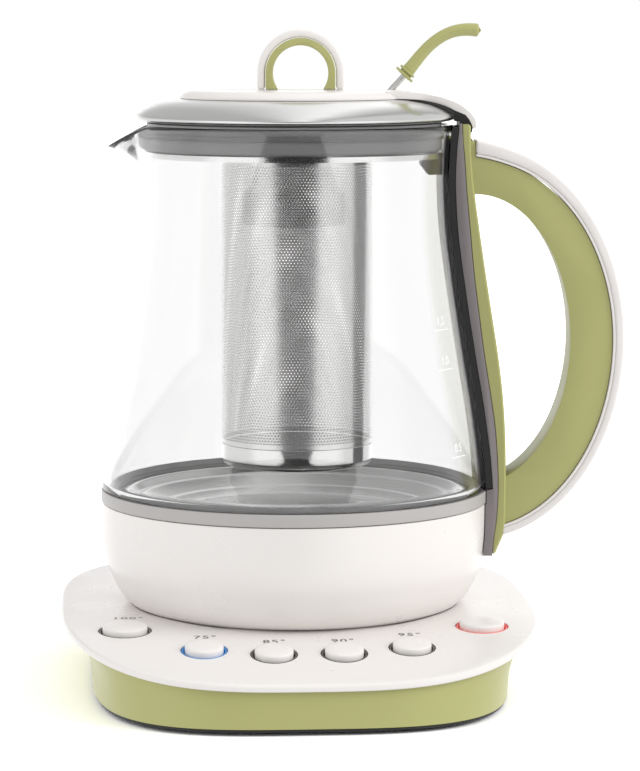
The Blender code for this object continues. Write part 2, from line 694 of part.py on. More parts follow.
def base_plate():
    """White top cover: a flat seat that falls away in an arc to the button panel."""
    bm = bmesh.new()
    outline = superellipse(BASE_HALF_WIDTH, BASE_FRONT, BASE_BACK, BASE_CORNER_POWER)
    face = bm.faces.new([bm.verts.new((x, y, BASE_TOP_Z)) for x, y in outline])
    grown = bmesh.ops.extrude_face_region(bm, geom=[face])
    lower = [v for v in grown["geom"] if isinstance(v, bmesh.types.BMVert)]
    bmesh.ops.translate(bm, verts=lower, vec=(0.0, 0.0, -PLATE_THICKNESS))
    bmesh.ops.recalc_face_normals(bm, faces=bm.faces)
    rim = [e for e in bm.edges if abs(e.verts[0].co.z - e.verts[1].co.z) < GAP]
    bmesh.ops.bevel(bm, geom=rim, offset=PLATE_ROUND, segments=1, profile=0.5,
                    affect="EDGES", material=-1)
    for y in spread(-PANEL_START, -BASE_FRONT, PANEL_CUTS + 1)[:-1]:
        geom = list(bm.verts) + list(bm.edges) + list(bm.faces)
        bmesh.ops.bisect_plane(bm, geom=geom, dist=0.0000001, plane_co=(0.0, y, 0.0),
                               plane_no=(0.0, 1.0, 0.0))
    for vert in bm.verts:
        vert.co.z -= panel_fall(vert.co.y)
    bmesh.ops.triangulate(bm, faces=bm.faces)
    mesh = bpy.data.meshes.new("base_top_plate")
    bm.to_mesh(mesh)
    bm.free()
    smooth(mesh)
    return place("base_top_plate", mesh, WHITE, BASE)


def base_skirt():
    """Green shell under the plate, drawn in towards the foot with a hollow flare."""
    outer, inner = [], []
    for share, flare in SKIRT_FLARE_SHARES:
        for wall, loops in ((0.0, outer), (SKIRT_WALL, inner)):
            half = SKIRT_FOOT_HALF_WIDTH + (BASE_HALF_WIDTH - SKIRT_INSET - SKIRT_FOOT_HALF_WIDTH) * flare
            front = SKIRT_FOOT_FRONT + (BASE_FRONT - SKIRT_INSET - SKIRT_FOOT_FRONT) * flare
            back = SKIRT_FOOT_BACK + (BASE_BACK - SKIRT_INSET - SKIRT_FOOT_BACK) * flare
            power = SKIRT_FOOT_CORNER_POWER + (BASE_CORNER_POWER - SKIRT_FOOT_CORNER_POWER) * flare
            loop = []
            for x, y in superellipse(half - wall, front - wall, back - wall, power):
                top = BASE_TOP_Z - panel_fall(y) - PLATE_THICKNESS - GAP
                loop.append((x, y, SKIRT_BOTTOM_Z + (top - SKIRT_BOTTOM_Z) * share))
            loops.append(loop)
    return loft("base_skirt", outer + list(reversed(inner)), GREEN, BASE, ring=True)


def base_bottom_cover():
    """Black floor with a lip under the skirt and a step that fits inside it."""
    def outline(inset, z):
        points = superellipse(SKIRT_FOOT_HALF_WIDTH - inset, SKIRT_FOOT_FRONT - inset,
                              SKIRT_FOOT_BACK - inset, SKIRT_FOOT_CORNER_POWER)
        return [(x, y, z) for x, y in points]
    lip = SKIRT_BOTTOM_Z - GAP
    inside = SKIRT_WALL + RUNNING_GAP
    loops = [outline(BOTTOM_COVER_INSET, BOTTOM_COVER_Z), outline(BOTTOM_COVER_INSET, lip),
             outline(inside, lip), outline(inside, lip + BOTTOM_COVER_STEP)]
    return loft("base_bottom_cover", loops, BLACK, BASE)


COVER_TOP_Z = SKIRT_BOTTOM_Z - GAP + BOTTOM_COVER_STEP


def corners(across, along_depth):
    return [(sx * across, sy * along_depth) for sx in (-1.0, 1.0) for sy in (-1.0, 1.0)]


def base_feet():
    top = BOTTOM_COVER_Z - GAP
    profile = [(0.0, top), (FOOT_RADIUS, top), (FOOT_RADIUS, FOOT_EDGE),
               (FOOT_RADIUS - FOOT_EDGE, 0.0), (0.0, 0.0)]
    for i, (x, y) in enumerate(corners(FOOT_ACROSS, FOOT_ALONG)):
        turned(f"base_foot_{i + 1}", profile, RUBBER, BASE, STEPS_SMALL, False,
               location=(x, y, 0.0))


def screw_profile(head_z):
    return [(0.0, head_z + SCREW_LENGTH), (SCREW_RADIUS, head_z + SCREW_LENGTH),
            (SCREW_RADIUS, head_z + SCREW_HEAD_HEIGHT), (SCREW_HEAD_RADIUS, head_z + SCREW_HEAD_HEIGHT),
            (SCREW_HEAD_RADIUS, head_z), (0.0, head_z)]


def base_fasteners(plate, cover):
    """Four screws through the floor into bosses under the plate."""
    for i, (x, y) in enumerate(corners(SCREW_ACROSS, SCREW_ALONG)):
        here = (x, y, 0.0)
        boss_top = BASE_TOP_Z - panel_fall(y - BOSS_RADIUS) - PLATE_THICKNESS / 2.0
        boss = cylinder(f"boss_{i}", BOSS_RADIUS, COVER_TOP_Z + GAP, boss_top, None, BASE,
                        STEPS_TINY, location=here)
        boolean(plate, boss, "UNION")
        head_z = BOTTOM_COVER_Z + GAP
        pilot = cylinder(f"pilot_{i}", SCREW_RADIUS + GAP, -OVERRUN,
                         head_z + SCREW_LENGTH + GAP, None, BASE, STEPS_TINY, location=here)
        boolean(plate, pilot)
        boolean(cover, pilot)
        sink = cylinder(f"sink_{i}", SCREW_HEAD_RADIUS + GAP, -OVERRUN,
                        head_z + SCREW_HEAD_HEIGHT + GAP, None, BASE, STEPS_TINY, location=here)
        boolean(cover, sink)
        turned(f"base_screw_{i + 1}", screw_profile(head_z), STEEL, BASE, STEPS_TINY, False,
               location=here)


SEAT_Z = BASE_TOP_Z - SEAT_DEPTH


def connector(plate):
    """The round plug that the kettle turns on, held from below in the plate."""
    seat = cylinder("seat_cut", SEAT_RADIUS, SEAT_Z, BASE_TOP_Z + OVERRUN, None, BASE, STEPS_LARGE)
    boolean(plate, seat)
    hole = cylinder("plug_hole", PLUG_RADIUS + GAP, 0.0, BASE_TOP_Z + OVERRUN, None, BASE, STEPS_MEDIUM)
    boolean(plate, hole)
    under = BASE_TOP_Z - PLATE_THICKNESS - GAP
    top = SEAT_Z + PLUG_HEIGHT
    floor = top - PLUG_GROOVE_DEPTH
    low = under - PLUG_BODY_DEPTH
    profile = [
        (0.0, top), (PLUG_PIN_RADIUS, top), (PLUG_PIN_RADIUS, floor), (PLUG_GROOVE_OUTER, floor),
        (PLUG_GROOVE_OUTER, top), (PLUG_RADIUS - GAP, top), (PLUG_RADIUS, top - GAP),
        (PLUG_RADIUS, under), (PLUG_RADIUS + PLUG_FLANGE, under),
        (PLUG_RADIUS + PLUG_FLANGE, under - PLUG_FLANGE), (PLUG_RADIUS, under - PLUG_FLANGE),
        (PLUG_RADIUS, low), (0.0, low),
    ]
    return turned("base_connector", profile, BLACK, BASE, STEPS_MEDIUM, False)


def cord_gland(skirt):
    """Bushing in the back wall of the skirt, where a power cord would enter."""
    back = max(y for x, y in superellipse(SKIRT_FOOT_HALF_WIDTH, SKIRT_FOOT_FRONT, SKIRT_FOOT_BACK,
                                          SKIRT_FOOT_CORNER_POWER))
    turn = (-math.pi / 2.0, 0.0, 0.0)
    here = (0.0, back, GLAND_Z)
    hole = cylinder("gland_hole", GLAND_RADIUS + GAP, -GLAND_LENGTH, GLAND_LENGTH, None, BASE,
                    STEPS_SMALL, location=here, rotation=turn)
    boolean(skirt, hole)
    half = GLAND_LENGTH / 2.0
    profile = [(GLAND_RADIUS - GLAND_LIP, half - SKIRT_WALL / 2.0), (GLAND_RADIUS, half - SKIRT_WALL),
               (GLAND_RADIUS, -half), (GLAND_BORE, -half), (GLAND_BORE, half - SKIRT_WALL / 2.0)]
    return turned("cord_gland", profile, BLACK, BASE, STEPS_SMALL, True, location=here, rotation=turn)


# Buttons, their rings and the board below them

def button_sizes(kind):
    cap = ROW_BUTTON_RADIUS if kind == "row" else END_BUTTON_RADIUS
    return cap, cap + BUTTON_RING_WIDTH


RING_BOTTOM = -(PLATE_THICKNESS + RING_TAIL)
CAP_LIP_TOP = RING_BOTTOM - GAP
CAP_BOTTOM = CAP_LIP_TOP - CAP_LIP
PLUNGER_BOTTOM = CAP_BOTTOM - PLUNGER_LENGTH
SWITCH_TOP = PLUNGER_BOTTOM - BUTTON_TRAVEL - GAP
SWITCH_BODY_TOP = SWITCH_TOP - SWITCH_BUTTON_HEIGHT
SWITCH_BOTTOM = SWITCH_BODY_TOP - SWITCH_HEIGHT


def button_set(plate):
    """Six caps in their rings, each on its own axis square to the panel."""
    switches = []
    for name, x, y, kind, ring_finish in BUTTON_ROWS:
        cap_radius, well_radius = button_sizes(kind)
        here = (x, y, BASE_TOP_Z - panel_fall(y))
        axis = empty(f"{name}_axis", here, BASE, (panel_tilt(y), 0.0, 0.0))
        well = cylinder(f"{name}_well", well_radius, -BASE_TOP_Z / 2.0, OVERRUN, None, axis,
                        STEPS_MEDIUM)
        boolean(plate, well)
        bore = cap_radius + RUNNING_GAP
        under = -(PLATE_THICKNESS + PANEL_BOW)
        ring = [
            (bore, -RING_DEPTH), (well_radius - GAP, -RING_DEPTH), (well_radius - GAP, under),
            (well_radius + RING_LIP, under), (well_radius + RING_LIP, RING_BOTTOM),
            (bore, RING_BOTTOM),
        ]
        turned(f"ring_{name}", ring, RING_FINISH[ring_finish], axis, STEPS_MEDIUM)
        crown = []
        for reach, rise in BUTTON_CROWN_SHARES:
            crown.append((cap_radius * reach, BUTTON_SIDE + BUTTON_DOME * rise))
        cap = crown + [
            (cap_radius, CAP_LIP_TOP), (bore + CAP_LIP, CAP_LIP_TOP), (bore + CAP_LIP, CAP_BOTTOM),
            (PLUNGER_RADIUS, CAP_BOTTOM), (PLUNGER_RADIUS, PLUNGER_BOTTOM), (0.0, PLUNGER_BOTTOM),
        ]
        turned(f"button_{name}", cap, WHITE, axis, STEPS_MEDIUM, False)
        half = SWITCH_SIDE / 2.0
        body = box(f"switch_{name}", (-half, -half, SWITCH_BOTTOM - BOARD_THICKNESS / 2.0),
                   (half, half, SWITCH_BODY_TOP), None, axis)
        stem = cylinder(f"stem_{name}", SWITCH_BUTTON_RADIUS, SWITCH_BODY_TOP - SWITCH_HEIGHT / 2.0,
                        SWITCH_TOP, None, axis, STEPS_TINY)
        switches += [body, stem]
    return switches


def board_place(y):
    """Where the board's top passes under a button at y: that point's y and z."""
    tilt = panel_tilt(y)
    reach = SWITCH_BOTTOM
    return y - reach * math.sin(tilt), BASE_TOP_Z - panel_fall(y) + reach * math.cos(tilt)


def control_board(cover, switches):
    """Tilted circuit board that carries the switches, on posts of the floor."""
    rows = sorted({row[2] for row in BUTTON_ROWS})
    front_y, front_z = board_place(rows[0])
    back_y, back_z = board_place(rows[-1])
    slope = (back_z - front_z) / (back_y - front_y)

    def height(y):
        return back_z + (y - back_y) * slope

    side = SKIRT_FOOT_HALF_WIDTH * BOARD_SIDE_SHARE + SWITCH_SIDE
    nose = SKIRT_FOOT_HALF_WIDTH * BOARD_NOSE_SHARE
    front = -SKIRT_FOOT_FRONT * BOARD_FRONT_SHARE
    waist = -SKIRT_FOOT_FRONT * BOARD_WAIST_SHARE
    plan = [(-side, -BOARD_BACK), (side, -BOARD_BACK), (side, waist), (nose, front),
            (-nose, front), (-side, waist)]
    lower = [(x, y, height(y) - BOARD_THICKNESS) for x, y in plan]
    upper = [(x, y, height(y)) for x, y in plan]
    board = loft("control_board", [lower, upper], BOARD, BASE)
    for switch in switches:
        boolean(board, switch, "UNION")
    for i, (across, ahead) in enumerate(POST_PLACE_SHARES):
        x = SKIRT_FOOT_HALF_WIDTH * across
        y = -BOARD_BACK * ahead
        top = height(y - POST_RADIUS) - BOARD_THICKNESS - GAP
        post = cylinder(f"post_{i}", POST_RADIUS, COVER_TOP_Z - BOTTOM_COVER_STEP / 2.0, top, None,
                        BASE, STEPS_TINY, location=(x, y, 0.0))
        boolean(cover, post, "UNION")
    return board


# Heated housing

FLOOR_OUTER = BODY_RADIUS * HOUSING_SHARES[0][1] - HOUSING_LIP
SOCKET_OUTER = PLUG_RADIUS + RUNNING_GAP + SOCKET_WALL


def housing():
    """White bowl with its rolled bottom edge."""
    heights = [share for share, _ in HOUSING_SHARES]
    tall = HOUSING_TOP_Z - KETTLE_BOTTOM_Z
    outer = [(housing_radius(KETTLE_BOTTOM_Z + tall * s), KETTLE_BOTTOM_Z + tall * s)
             for s in reversed(heights)]
    inner = [(radius - HOUSING_WALL, z) for radius, z in reversed(outer[:-2])]
    ledge = KETTLE_BOTTOM_Z + FLOOR_THICKNESS + GAP
    foot = [(FLOOR_OUTER + GAP, KETTLE_BOTTOM_Z), (FLOOR_OUTER + GAP, ledge)]
    return turned("lower_housing", outer + foot + inner, WHITE, KETTLE, STEPS_LARGE)


def housing_floor():
    profile = [(FLOOR_OUTER, KETTLE_BOTTOM_Z + FLOOR_THICKNESS), (FLOOR_OUTER, KETTLE_BOTTOM_Z),
               (SOCKET_OUTER + GAP, KETTLE_BOTTOM_Z),
               (SOCKET_OUTER + GAP, KETTLE_BOTTOM_Z + FLOOR_THICKNESS)]
    return turned("housing_floor", profile, WHITE, KETTLE, STEPS_LARGE)


def kettle_connector():
    """Socket cup over the plug, with a contact sleeve that enters its groove."""
    low = KETTLE_BOTTOM_Z + GAP
    roof = SEAT_Z + PLUG_HEIGHT + RUNNING_GAP
    sleeve = SEAT_Z + PLUG_HEIGHT - PLUG_GROOVE_DEPTH + RUNNING_GAP
    bore = PLUG_RADIUS + RUNNING_GAP
    ledge = KETTLE_BOTTOM_Z + FLOOR_THICKNESS + GAP
    profile = [
        (0.0, roof + SOCKET_ROOF), (SOCKET_OUTER, roof + SOCKET_ROOF), (SOCKET_OUTER, ledge + SOCKET_WALL),
        (SOCKET_OUTER + SOCKET_WALL, ledge + SOCKET_WALL), (SOCKET_OUTER + SOCKET_WALL, ledge),
        (SOCKET_OUTER, ledge), (SOCKET_OUTER, low), (bore, low), (bore, roof),
        (SOCKET_SLEEVE_OUTER, roof), (SOCKET_SLEEVE_OUTER, sleeve), (SOCKET_SLEEVE_INNER, sleeve),
        (SOCKET_SLEEVE_INNER, roof), (0.0, roof),
    ]
    return turned("kettle_connector", profile, BLACK, KETTLE, STEPS_MEDIUM, False)


LEDGE_INNER = BAND_INNER - BAND_LEDGE_WIDTH
HEATER_FLOOR_Z = BAND_BOTTOM_Z + BAND_LEDGE + GAP
HEATER_RADIUS = BAND_INNER - GAP
HEATER_RIM_Z = HEATER_FLOOR_Z + PLATE_RIM_HEIGHT


def trim_band():
    """Grey ring between housing and glass, with a ledge for the heating plate."""
    profile = [
        (BAND_RADIUS, BAND_TOP_Z), (BAND_RADIUS, BAND_BOTTOM_Z),
        (LEDGE_INNER, BAND_BOTTOM_Z), (LEDGE_INNER, BAND_BOTTOM_Z + BAND_LEDGE),
        (BAND_INNER, BAND_BOTTOM_Z + BAND_LEDGE), (BAND_INNER, BAND_TOP_Z),
    ]
    return turned("trim_band", profile, GREY, KETTLE, STEPS_LARGE)


def heating_plate():
    """Stainless dish pressed in concentric steps, its rim on the band's ledge."""
    top = [(0.0, HEATER_RIM_Z - HEATER_STEP * HEATER_RING_SHARES[-1][1])]
    for radius_share, drop_share in reversed(HEATER_RING_SHARES):
        top.append((HEATER_RADIUS * radius_share, HEATER_RIM_Z - HEATER_STEP * drop_share))
    top.append((HEATER_RADIUS, HEATER_RIM_Z))
    under = [(radius, z - HEATER_SHEET) for radius, z in reversed(top[:-1])]
    profile = top + [(HEATER_RADIUS, HEATER_FLOOR_Z), (LEDGE_INNER - GAP, HEATER_FLOOR_Z)] + under
    return turned("heating_plate", profile, BRUSHED, KETTLE, STEPS_LARGE, False)


def heater():
    """Aluminium disc and the ring-shaped element pressed against it."""
    top = HEATER_RIM_Z - HEATER_STEP - HEATER_SHEET - GAP
    low = top - DIFFUSER_THICKNESS
    disc = [(0.0, top), (DIFFUSER_RADIUS, top), (DIFFUSER_RADIUS, low), (0.0, low)]
    turned("heat_diffuser", disc, ALUMINIUM, KETTLE, STEPS_MEDIUM, False)
    z = low - GAP - ELEMENT_TUBE
    points = []
    start = math.pi / 2.0 + (math.tau - ELEMENT_SWEEP) / 2.0
    for angle in spread(start, start + ELEMENT_SWEEP, ELEMENT_POINTS):
        points.append((ELEMENT_RADIUS * math.cos(angle), ELEMENT_RADIUS * math.sin(angle), z))
    for i in (0, -1):
        x, y, _ = points[i]
        tail = (x, y, z - ELEMENT_TAIL)
        points.insert(0, tail) if i == 0 else points.append(tail)
    tube("heating_element", points, ELEMENT_TUBE, STEEL, KETTLE, resolution=1)


def temperature_sensor():
    """Low domed button on the floor of the heating plate."""
    channel = HEATER_RADIUS * SENSOR_PLACE_SHARE
    here = (channel * math.cos(SENSOR_ANGLE), channel * math.sin(SENSOR_ANGLE), 0.0)
    floor = HEATER_RIM_Z - HEATER_STEP + GAP
    crown = [(SENSOR_RADIUS * math.cos(a), floor + SENSOR_HEIGHT * math.sin(a))
             for a in spread(math.pi / 2.0, 0.0, 4)]
    crown[0] = (0.0, crown[0][1])
    return turned("temperature_sensor", crown + [(0.0, floor)], STEEL, KETTLE, STEPS_SMALL,
                  False, location=here)


def glass_seal():
    """Silicone ring inside the foot of the glass."""
    low = GLASS_FOOT_Z
    outer = glass_radius(low + SEAL_HEIGHT) - GLASS_WALL - GAP
    inner = outer - SEAL_WIDTH
    profile = [(outer, low + SEAL_HEIGHT - GAP), (outer, low), (inner, low),
               (inner + SEAL_WIDTH / 2.0, low + SEAL_HEIGHT)]
    return turned("glass_seal", profile, SILICONE, KETTLE, STEPS_GLASS)


# Glass jug

def glass_jug():
    """Blown wall spun from its profile, with the spout then drawn out of the neck."""
    neck_zs = spread(RIM_Z - GLASS_LIP, NECK_Z, 4)
    body_zs = [GLASS_FOOT_Z + (NECK_Z - GLASS_FOOT_Z) * share for share, _ in reversed(GLASS_SHARES)]
    zs = neck_zs + body_zs[1:]
    outer = [(glass_radius(z), z) for z in zs]
    inner = [(glass_radius(z) - GLASS_WALL, z) for z in reversed(zs)]
    rim = [(glass_radius(RIM_Z) - GLASS_WALL / 2.0, RIM_Z)]
    jug = settled(turned("glass_jug", outer + inner + rim, GLASS, KETTLE, STEPS_GLASS))
    for vert in jug.data.vertices:
        rise = (vert.co.z - SPOUT_ROOT_Z) / (RIM_Z - SPOUT_ROOT_Z)
        angle = abs(math.atan2(vert.co.y, -vert.co.x))
        if rise <= 0.0 or angle >= SPOUT_HALF_ANGLE:
            continue
        rise = min(rise, 1.0)
        middle = math.cos(angle / SPOUT_HALF_ANGLE * math.pi / 2.0) ** 2
        push = SPOUT_REACH * middle * rise ** SPOUT_REACH_POWER
        radius = math.hypot(vert.co.x, vert.co.y)
        narrow = 1.0 - SPOUT_NARROW_SHARE * middle * rise
        vert.co.x *= (radius + push) / radius
        vert.co.y *= (radius + push) / radius * narrow
        vert.co.z -= SPOUT_DROOP * middle * rise ** SPOUT_DROOP_POWER
    return jug


# Infuser basket

def basket():
    """Collar on the neck, perforated wall and closed cup, hung as one unit."""
    seat_low = glass_radius(COLLAR_BOTTOM_Z) - GLASS_WALL - GAP
    seat_high = glass_radius(COLLAR_BOTTOM_Z + COLLAR_HEIGHT) - GLASS_WALL - GAP
    top = COLLAR_BOTTOM_Z + COLLAR_HEIGHT
    inner = BASKET_RADIUS - BASKET_SHEET
    where = {"location": (BASKET_X, 0.0, 0.0)}
    reach = seat_low - BASKET_X
    rim = seat_high - BASKET_X
    profile = [
        (rim - COLLAR_SHEET, top), (rim, top - GAP), (reach, COLLAR_BOTTOM_Z),
        (inner, COLLAR_BOTTOM_Z), (inner, COLLAR_BOTTOM_Z + COLLAR_SHEET),
        (rim - 2.0 * COLLAR_SHEET, COLLAR_BOTTOM_Z + COLLAR_SHEET),
    ]
    turned("basket_collar", profile, STEEL, KETTLE, STEPS_LARGE, **where)
    wall_top = COLLAR_BOTTOM_Z - GAP
    wall_low = BASKET_BOTTOM_Z + CUP_HEIGHT + GAP
    wall = [(BASKET_RADIUS, wall_top), (BASKET_RADIUS, wall_low), (inner, wall_low), (inner, wall_top)]
    turned("basket_wall", wall, BRUSHED, KETTLE, STEPS_LARGE, **where)
    rounding = []
    for angle in spread(0.0, -math.pi / 2.0, 3):
        rounding.append((BASKET_RADIUS - CUP_ROUND + CUP_ROUND * math.cos(angle),
                         BASKET_BOTTOM_Z + CUP_ROUND + CUP_ROUND * math.sin(angle)))
    floor = BASKET_BOTTOM_Z + BASKET_SHEET
    cup_top = BASKET_BOTTOM_Z + CUP_HEIGHT
    cup = [(BASKET_RADIUS, cup_top)] + rounding + [(0.0, BASKET_BOTTOM_Z), (0.0, floor),
                                                   (inner - CUP_ROUND, floor), (inner, floor + CUP_ROUND),
                                                   (inner, cup_top)]
    turned("basket_cup", cup, STEEL, KETTLE, STEPS_LARGE, True, **where)


def collar_lug():
    """Grey lug under the collar that stops the basket from turning at the handle."""
    outer = math.sqrt((glass_radius(NECK_Z) - GLASS_WALL - GAP) ** 2 - LUG_HALF_WIDTH ** 2)
    start = outer - LUG_LENGTH
    top = COLLAR_BOTTOM_Z - GAP
    outline = [(start + LUG_LENGTH * x, top + LUG_HEIGHT * z) for x, z in LUG_SHARES]
    return extruded("collar_lug", outline, LUG_HALF_WIDTH, GREY, KETTLE)


# Handle

def body_cutter():
    """Solid of the body's outside plus the gap, that the spine is cut by."""
    zs = spread(SPINE_TOP_Z + OVERRUN, BAND_TOP_Z + GAP + GAP, 20)
    zs += [BAND_TOP_Z + GAP, BAND_BOTTOM_Z - GAP, BAND_BOTTOM_Z - GAP - GAP]
    zs += spread(BAND_BOTTOM_Z - OVERRUN, SPINE_BOTTOM_Z - OVERRUN, 6)
    profile = [(0.0, zs[0])]
    for z in zs:
        near_band = BAND_BOTTOM_Z - GAP <= z <= BAND_TOP_Z + GAP
        radius = BAND_RADIUS if near_band else body_radius(min(z, RIM_Z))
        profile.append((radius + RUNNING_GAP, z))
    profile.append((0.0, zs[-1]))
    return turned("body_cut", profile, None, KETTLE, STEPS_LARGE * 2, False)


def hinge_slot_cutters():
    """Room in the handle's top for the knuckle and the sweep of the tongue."""
    half = KNUCKLE_HALF_WIDTH + RUNNING_GAP
    sweep = cylinder("slot_round", TONGUE_SWEEP, -half, half, None, KETTLE, STEPS_MEDIUM,
                     location=(HINGE_X, 0.0, HINGE_Z), rotation=(math.pi / 2.0, 0.0, 0.0))
    return sweep


def pin_cutter(name, radius, half):
    return cylinder(name, radius, -half, half, None, KETTLE, STEPS_MEDIUM,
                    location=(HINGE_X, 0.0, HINGE_Z), rotation=(math.pi / 2.0, 0.0, 0.0))


def handle_spine(body_tool, slot, pin_tool):
    """Grey spine that follows the body from the rim to the housing."""
    zs = spread(SPINE_TOP_Z, SPINE_BOTTOM_Z, SPINE_LINE_POINTS)
    back = [(spine_line(z), z) for z in zs]
    sink = SPINE_HALF_WIDTH / 3.0
    front = [(body_radius(z) - sink, z) for z in reversed(zs)]
    spine = extruded("handle_spine", back + front, SPINE_HALF_WIDTH, GREY, KETTLE, SPINE_EDGE, 1)
    boolean(spine, body_tool)
    boolean(spine, slot)
    boolean(spine, pin_tool)
    return spine


def handle_shell(slot, pin_tool):
    """Green strip along the spine and the loop of the grip, moulded as one."""
    zs = spread(SPINE_TOP_Z, SPINE_BOTTOM_Z, SPINE_LINE_POINTS)
    line = [(spine_line(z) + GAP, z) for z in reversed(zs)]
    gap = COVER_THICKNESS + GAP
    arc = half_ellipse(HANDLE_REACH - gap, HANDLE_RISE - gap, HANDLE_DROP - gap,
                       COVER_TOP_ANGLE, COVER_BOTTOM_ANGLE, HANDLE_ARC_POINTS)
    grip = [(x, z) for x, z in arc if x > strip_line(z) + GAP]
    top_zs = [z for z in spread(SPINE_TOP_Z, grip[0][1], 4)]
    low_zs = [z for z in spread(grip[-1][1], SPINE_BOTTOM_Z, 4)]
    shoulder = [(strip_line(z), z) for z in top_zs]
    foot = [(strip_line(z), z) for z in low_zs]
    outline = line + shoulder + grip + foot
    shell = extruded("handle_shell", outline, STRIP_HALF_WIDTH, GREEN, KETTLE)
    loop = half_ellipse(FINGER_REACH, FINGER_RISE, FINGER_DROP, math.radians(90.0),
                        math.radians(-90.0), HANDLE_ARC_POINTS)
    inner = [(x, z) for x, z in loop if x > strip_line(z)]
    strip = [(strip_line(z), z) for z in spread(inner[-1][1], inner[0][1], 12)]
    finger = extruded("finger_cut", inner + strip, STRIP_HALF_WIDTH + OVERRUN, None, KETTLE)
    boolean(shell, finger)
    room = extruded("cover_room", cover_outline(OVERRUN, GAP), STRIP_HALF_WIDTH + OVERRUN, None, KETTLE)
    boolean(shell, room)
    boolean(shell, slot)
    boolean(shell, pin_tool)
    add_bevel(shell, HANDLE_ROUND / 2.0, 1)
    return shell


def cover_outline(outside=0.0, around=0.0):
    """Band between two ellipses, or that band grown to cut room for it."""
    extra = around / HANDLE_RISE
    start, end = COVER_TOP_ANGLE + extra, COVER_BOTTOM_ANGLE - extra
    inset = COVER_THICKNESS + around
    outer = half_ellipse(HANDLE_REACH + outside, HANDLE_RISE + outside, HANDLE_DROP + outside,
                         start, end, HANDLE_ARC_POINTS)
    inner = half_ellipse(HANDLE_REACH - inset, HANDLE_RISE - inset, HANDLE_DROP - inset,
                         start, end, HANDLE_ARC_POINTS)
    return outer + list(reversed(inner))


def handle_cover():
    """White cover along the back of the grip."""
    return extruded("handle_cover", cover_outline(), STRIP_HALF_WIDTH, WHITE, KETTLE,
                    COVER_ROUND, 2)


# Lid

def dome():
    """Pressed steel cap with a rolled edge."""
    top = [(DOME_RADIUS * r, DOME_TOP_Z - DOME_RIM_DROP * d) for r, d in DOME_SHARES]
    lip = [(DOME_RADIUS * r, DOME_TOP_Z - DOME_RIM_DROP * d) for r, d in DOME_LIP_SHARES]
    inside = []
    for i, (radius, z) in enumerate(top + lip):
        if i == 0:
            inside.append((0.0, z - DOME_SHEET))
            continue
        before = (top + lip)[i - 1]
        after = (top + lip)[min(i + 1, len(top + lip) - 1)]
        run, fall = after[0] - before[0], after[1] - before[1]
        size = math.hypot(run, fall)
        inside.append((radius + DOME_SHEET * fall / size, z - DOME_SHEET * run / size))
    return turned("lid_dome", top + lip + list(reversed(inside)), STEEL, LID, STEPS_LARGE,
                  False, location=LID_ORIGIN), top


def lid_core():
    """Plastic plug under the dome that carries the seal."""
    ceiling = DOME_TOP_Z - DOME_SHEET - GAP
    flat = DOME_RADIUS * DOME_SHARES[1][0]
    shoulder = ceiling - DOME_RIM_DROP * 0.4
    profile = [
        (0.0, ceiling), (flat - DOME_SHEET, ceiling), (CORE_RADIUS, shoulder),
        (CORE_RADIUS, CORE_BOTTOM_Z), (CORE_RADIUS * CORE_DISH_SHARE, CORE_BOTTOM_Z),
        (CORE_RADIUS * CORE_DISH_SHARE - CORE_DISH_DEPTH, CORE_BOTTOM_Z + CORE_DISH_DEPTH),
        (0.0, CORE_BOTTOM_Z + CORE_DISH_DEPTH),
    ]
    return turned("lid_core", profile, GREY, LID, STEPS_LARGE, False, location=LID_ORIGIN)


def lid_gasket():
    """Silicone seal with three ribs round the plug."""
    tall = GASKET_TOP_Z - GASKET_BOTTOM_Z
    outer = [(GASKET_BODY_RADIUS, GASKET_TOP_Z)]
    for share in GASKET_RIB_SHARES:
        middle = GASKET_BOTTOM_Z + tall * share
        half = tall * GASKET_RIB_HALF_SHARE
        outer += [(GASKET_BODY_RADIUS, middle + half), (GASKET_RIB_RADIUS, middle),
                  (GASKET_BODY_RADIUS, middle - half)]
    low = GASKET_BOTTOM_Z
    outer += [(GASKET_BODY_RADIUS, low + tall * 0.2), (GASKET_BODY_RADIUS - COLLAR_SHEET, low)]
    inner = CORE_RADIUS + GAP
    return turned("lid_gasket", outer + [(inner, low), (inner, GASKET_TOP_Z)], SILICONE, LID,
                  STEPS_LARGE, True, location=LID_ORIGIN)


PLATE_BOTTOM_Z = DOME_TOP_Z + GAP
PLATE_TOP_Z = PLATE_BOTTOM_Z + LID_PLATE_THICKNESS


def tongue_loops(clear=0.0):
    """Cross-sections of the tongue, or of the room that it needs above the knuckle."""
    reach = TONGUE_END_X - TONGUE_START_X
    loops = []
    for (top_share, top_drop), (low_share, low_drop) in TONGUE_SHARES:
        half = TONGUE_ROOT_HALF_WIDTH * along(TONGUE_NARROW_SHARES, top_share) + clear
        top_x, top_z = TONGUE_START_X + reach * top_share, PLATE_TOP_Z + TONGUE_FALL * top_drop
        low_x, low_z = TONGUE_START_X + reach * low_share, PLATE_TOP_Z + TONGUE_FALL * low_drop
        loops.append([(top_x + clear, -half, top_z + clear), (top_x + clear, half, top_z + clear),
                      (low_x - clear, half, low_z - clear), (low_x - clear, -half, low_z - clear)])
    return loops


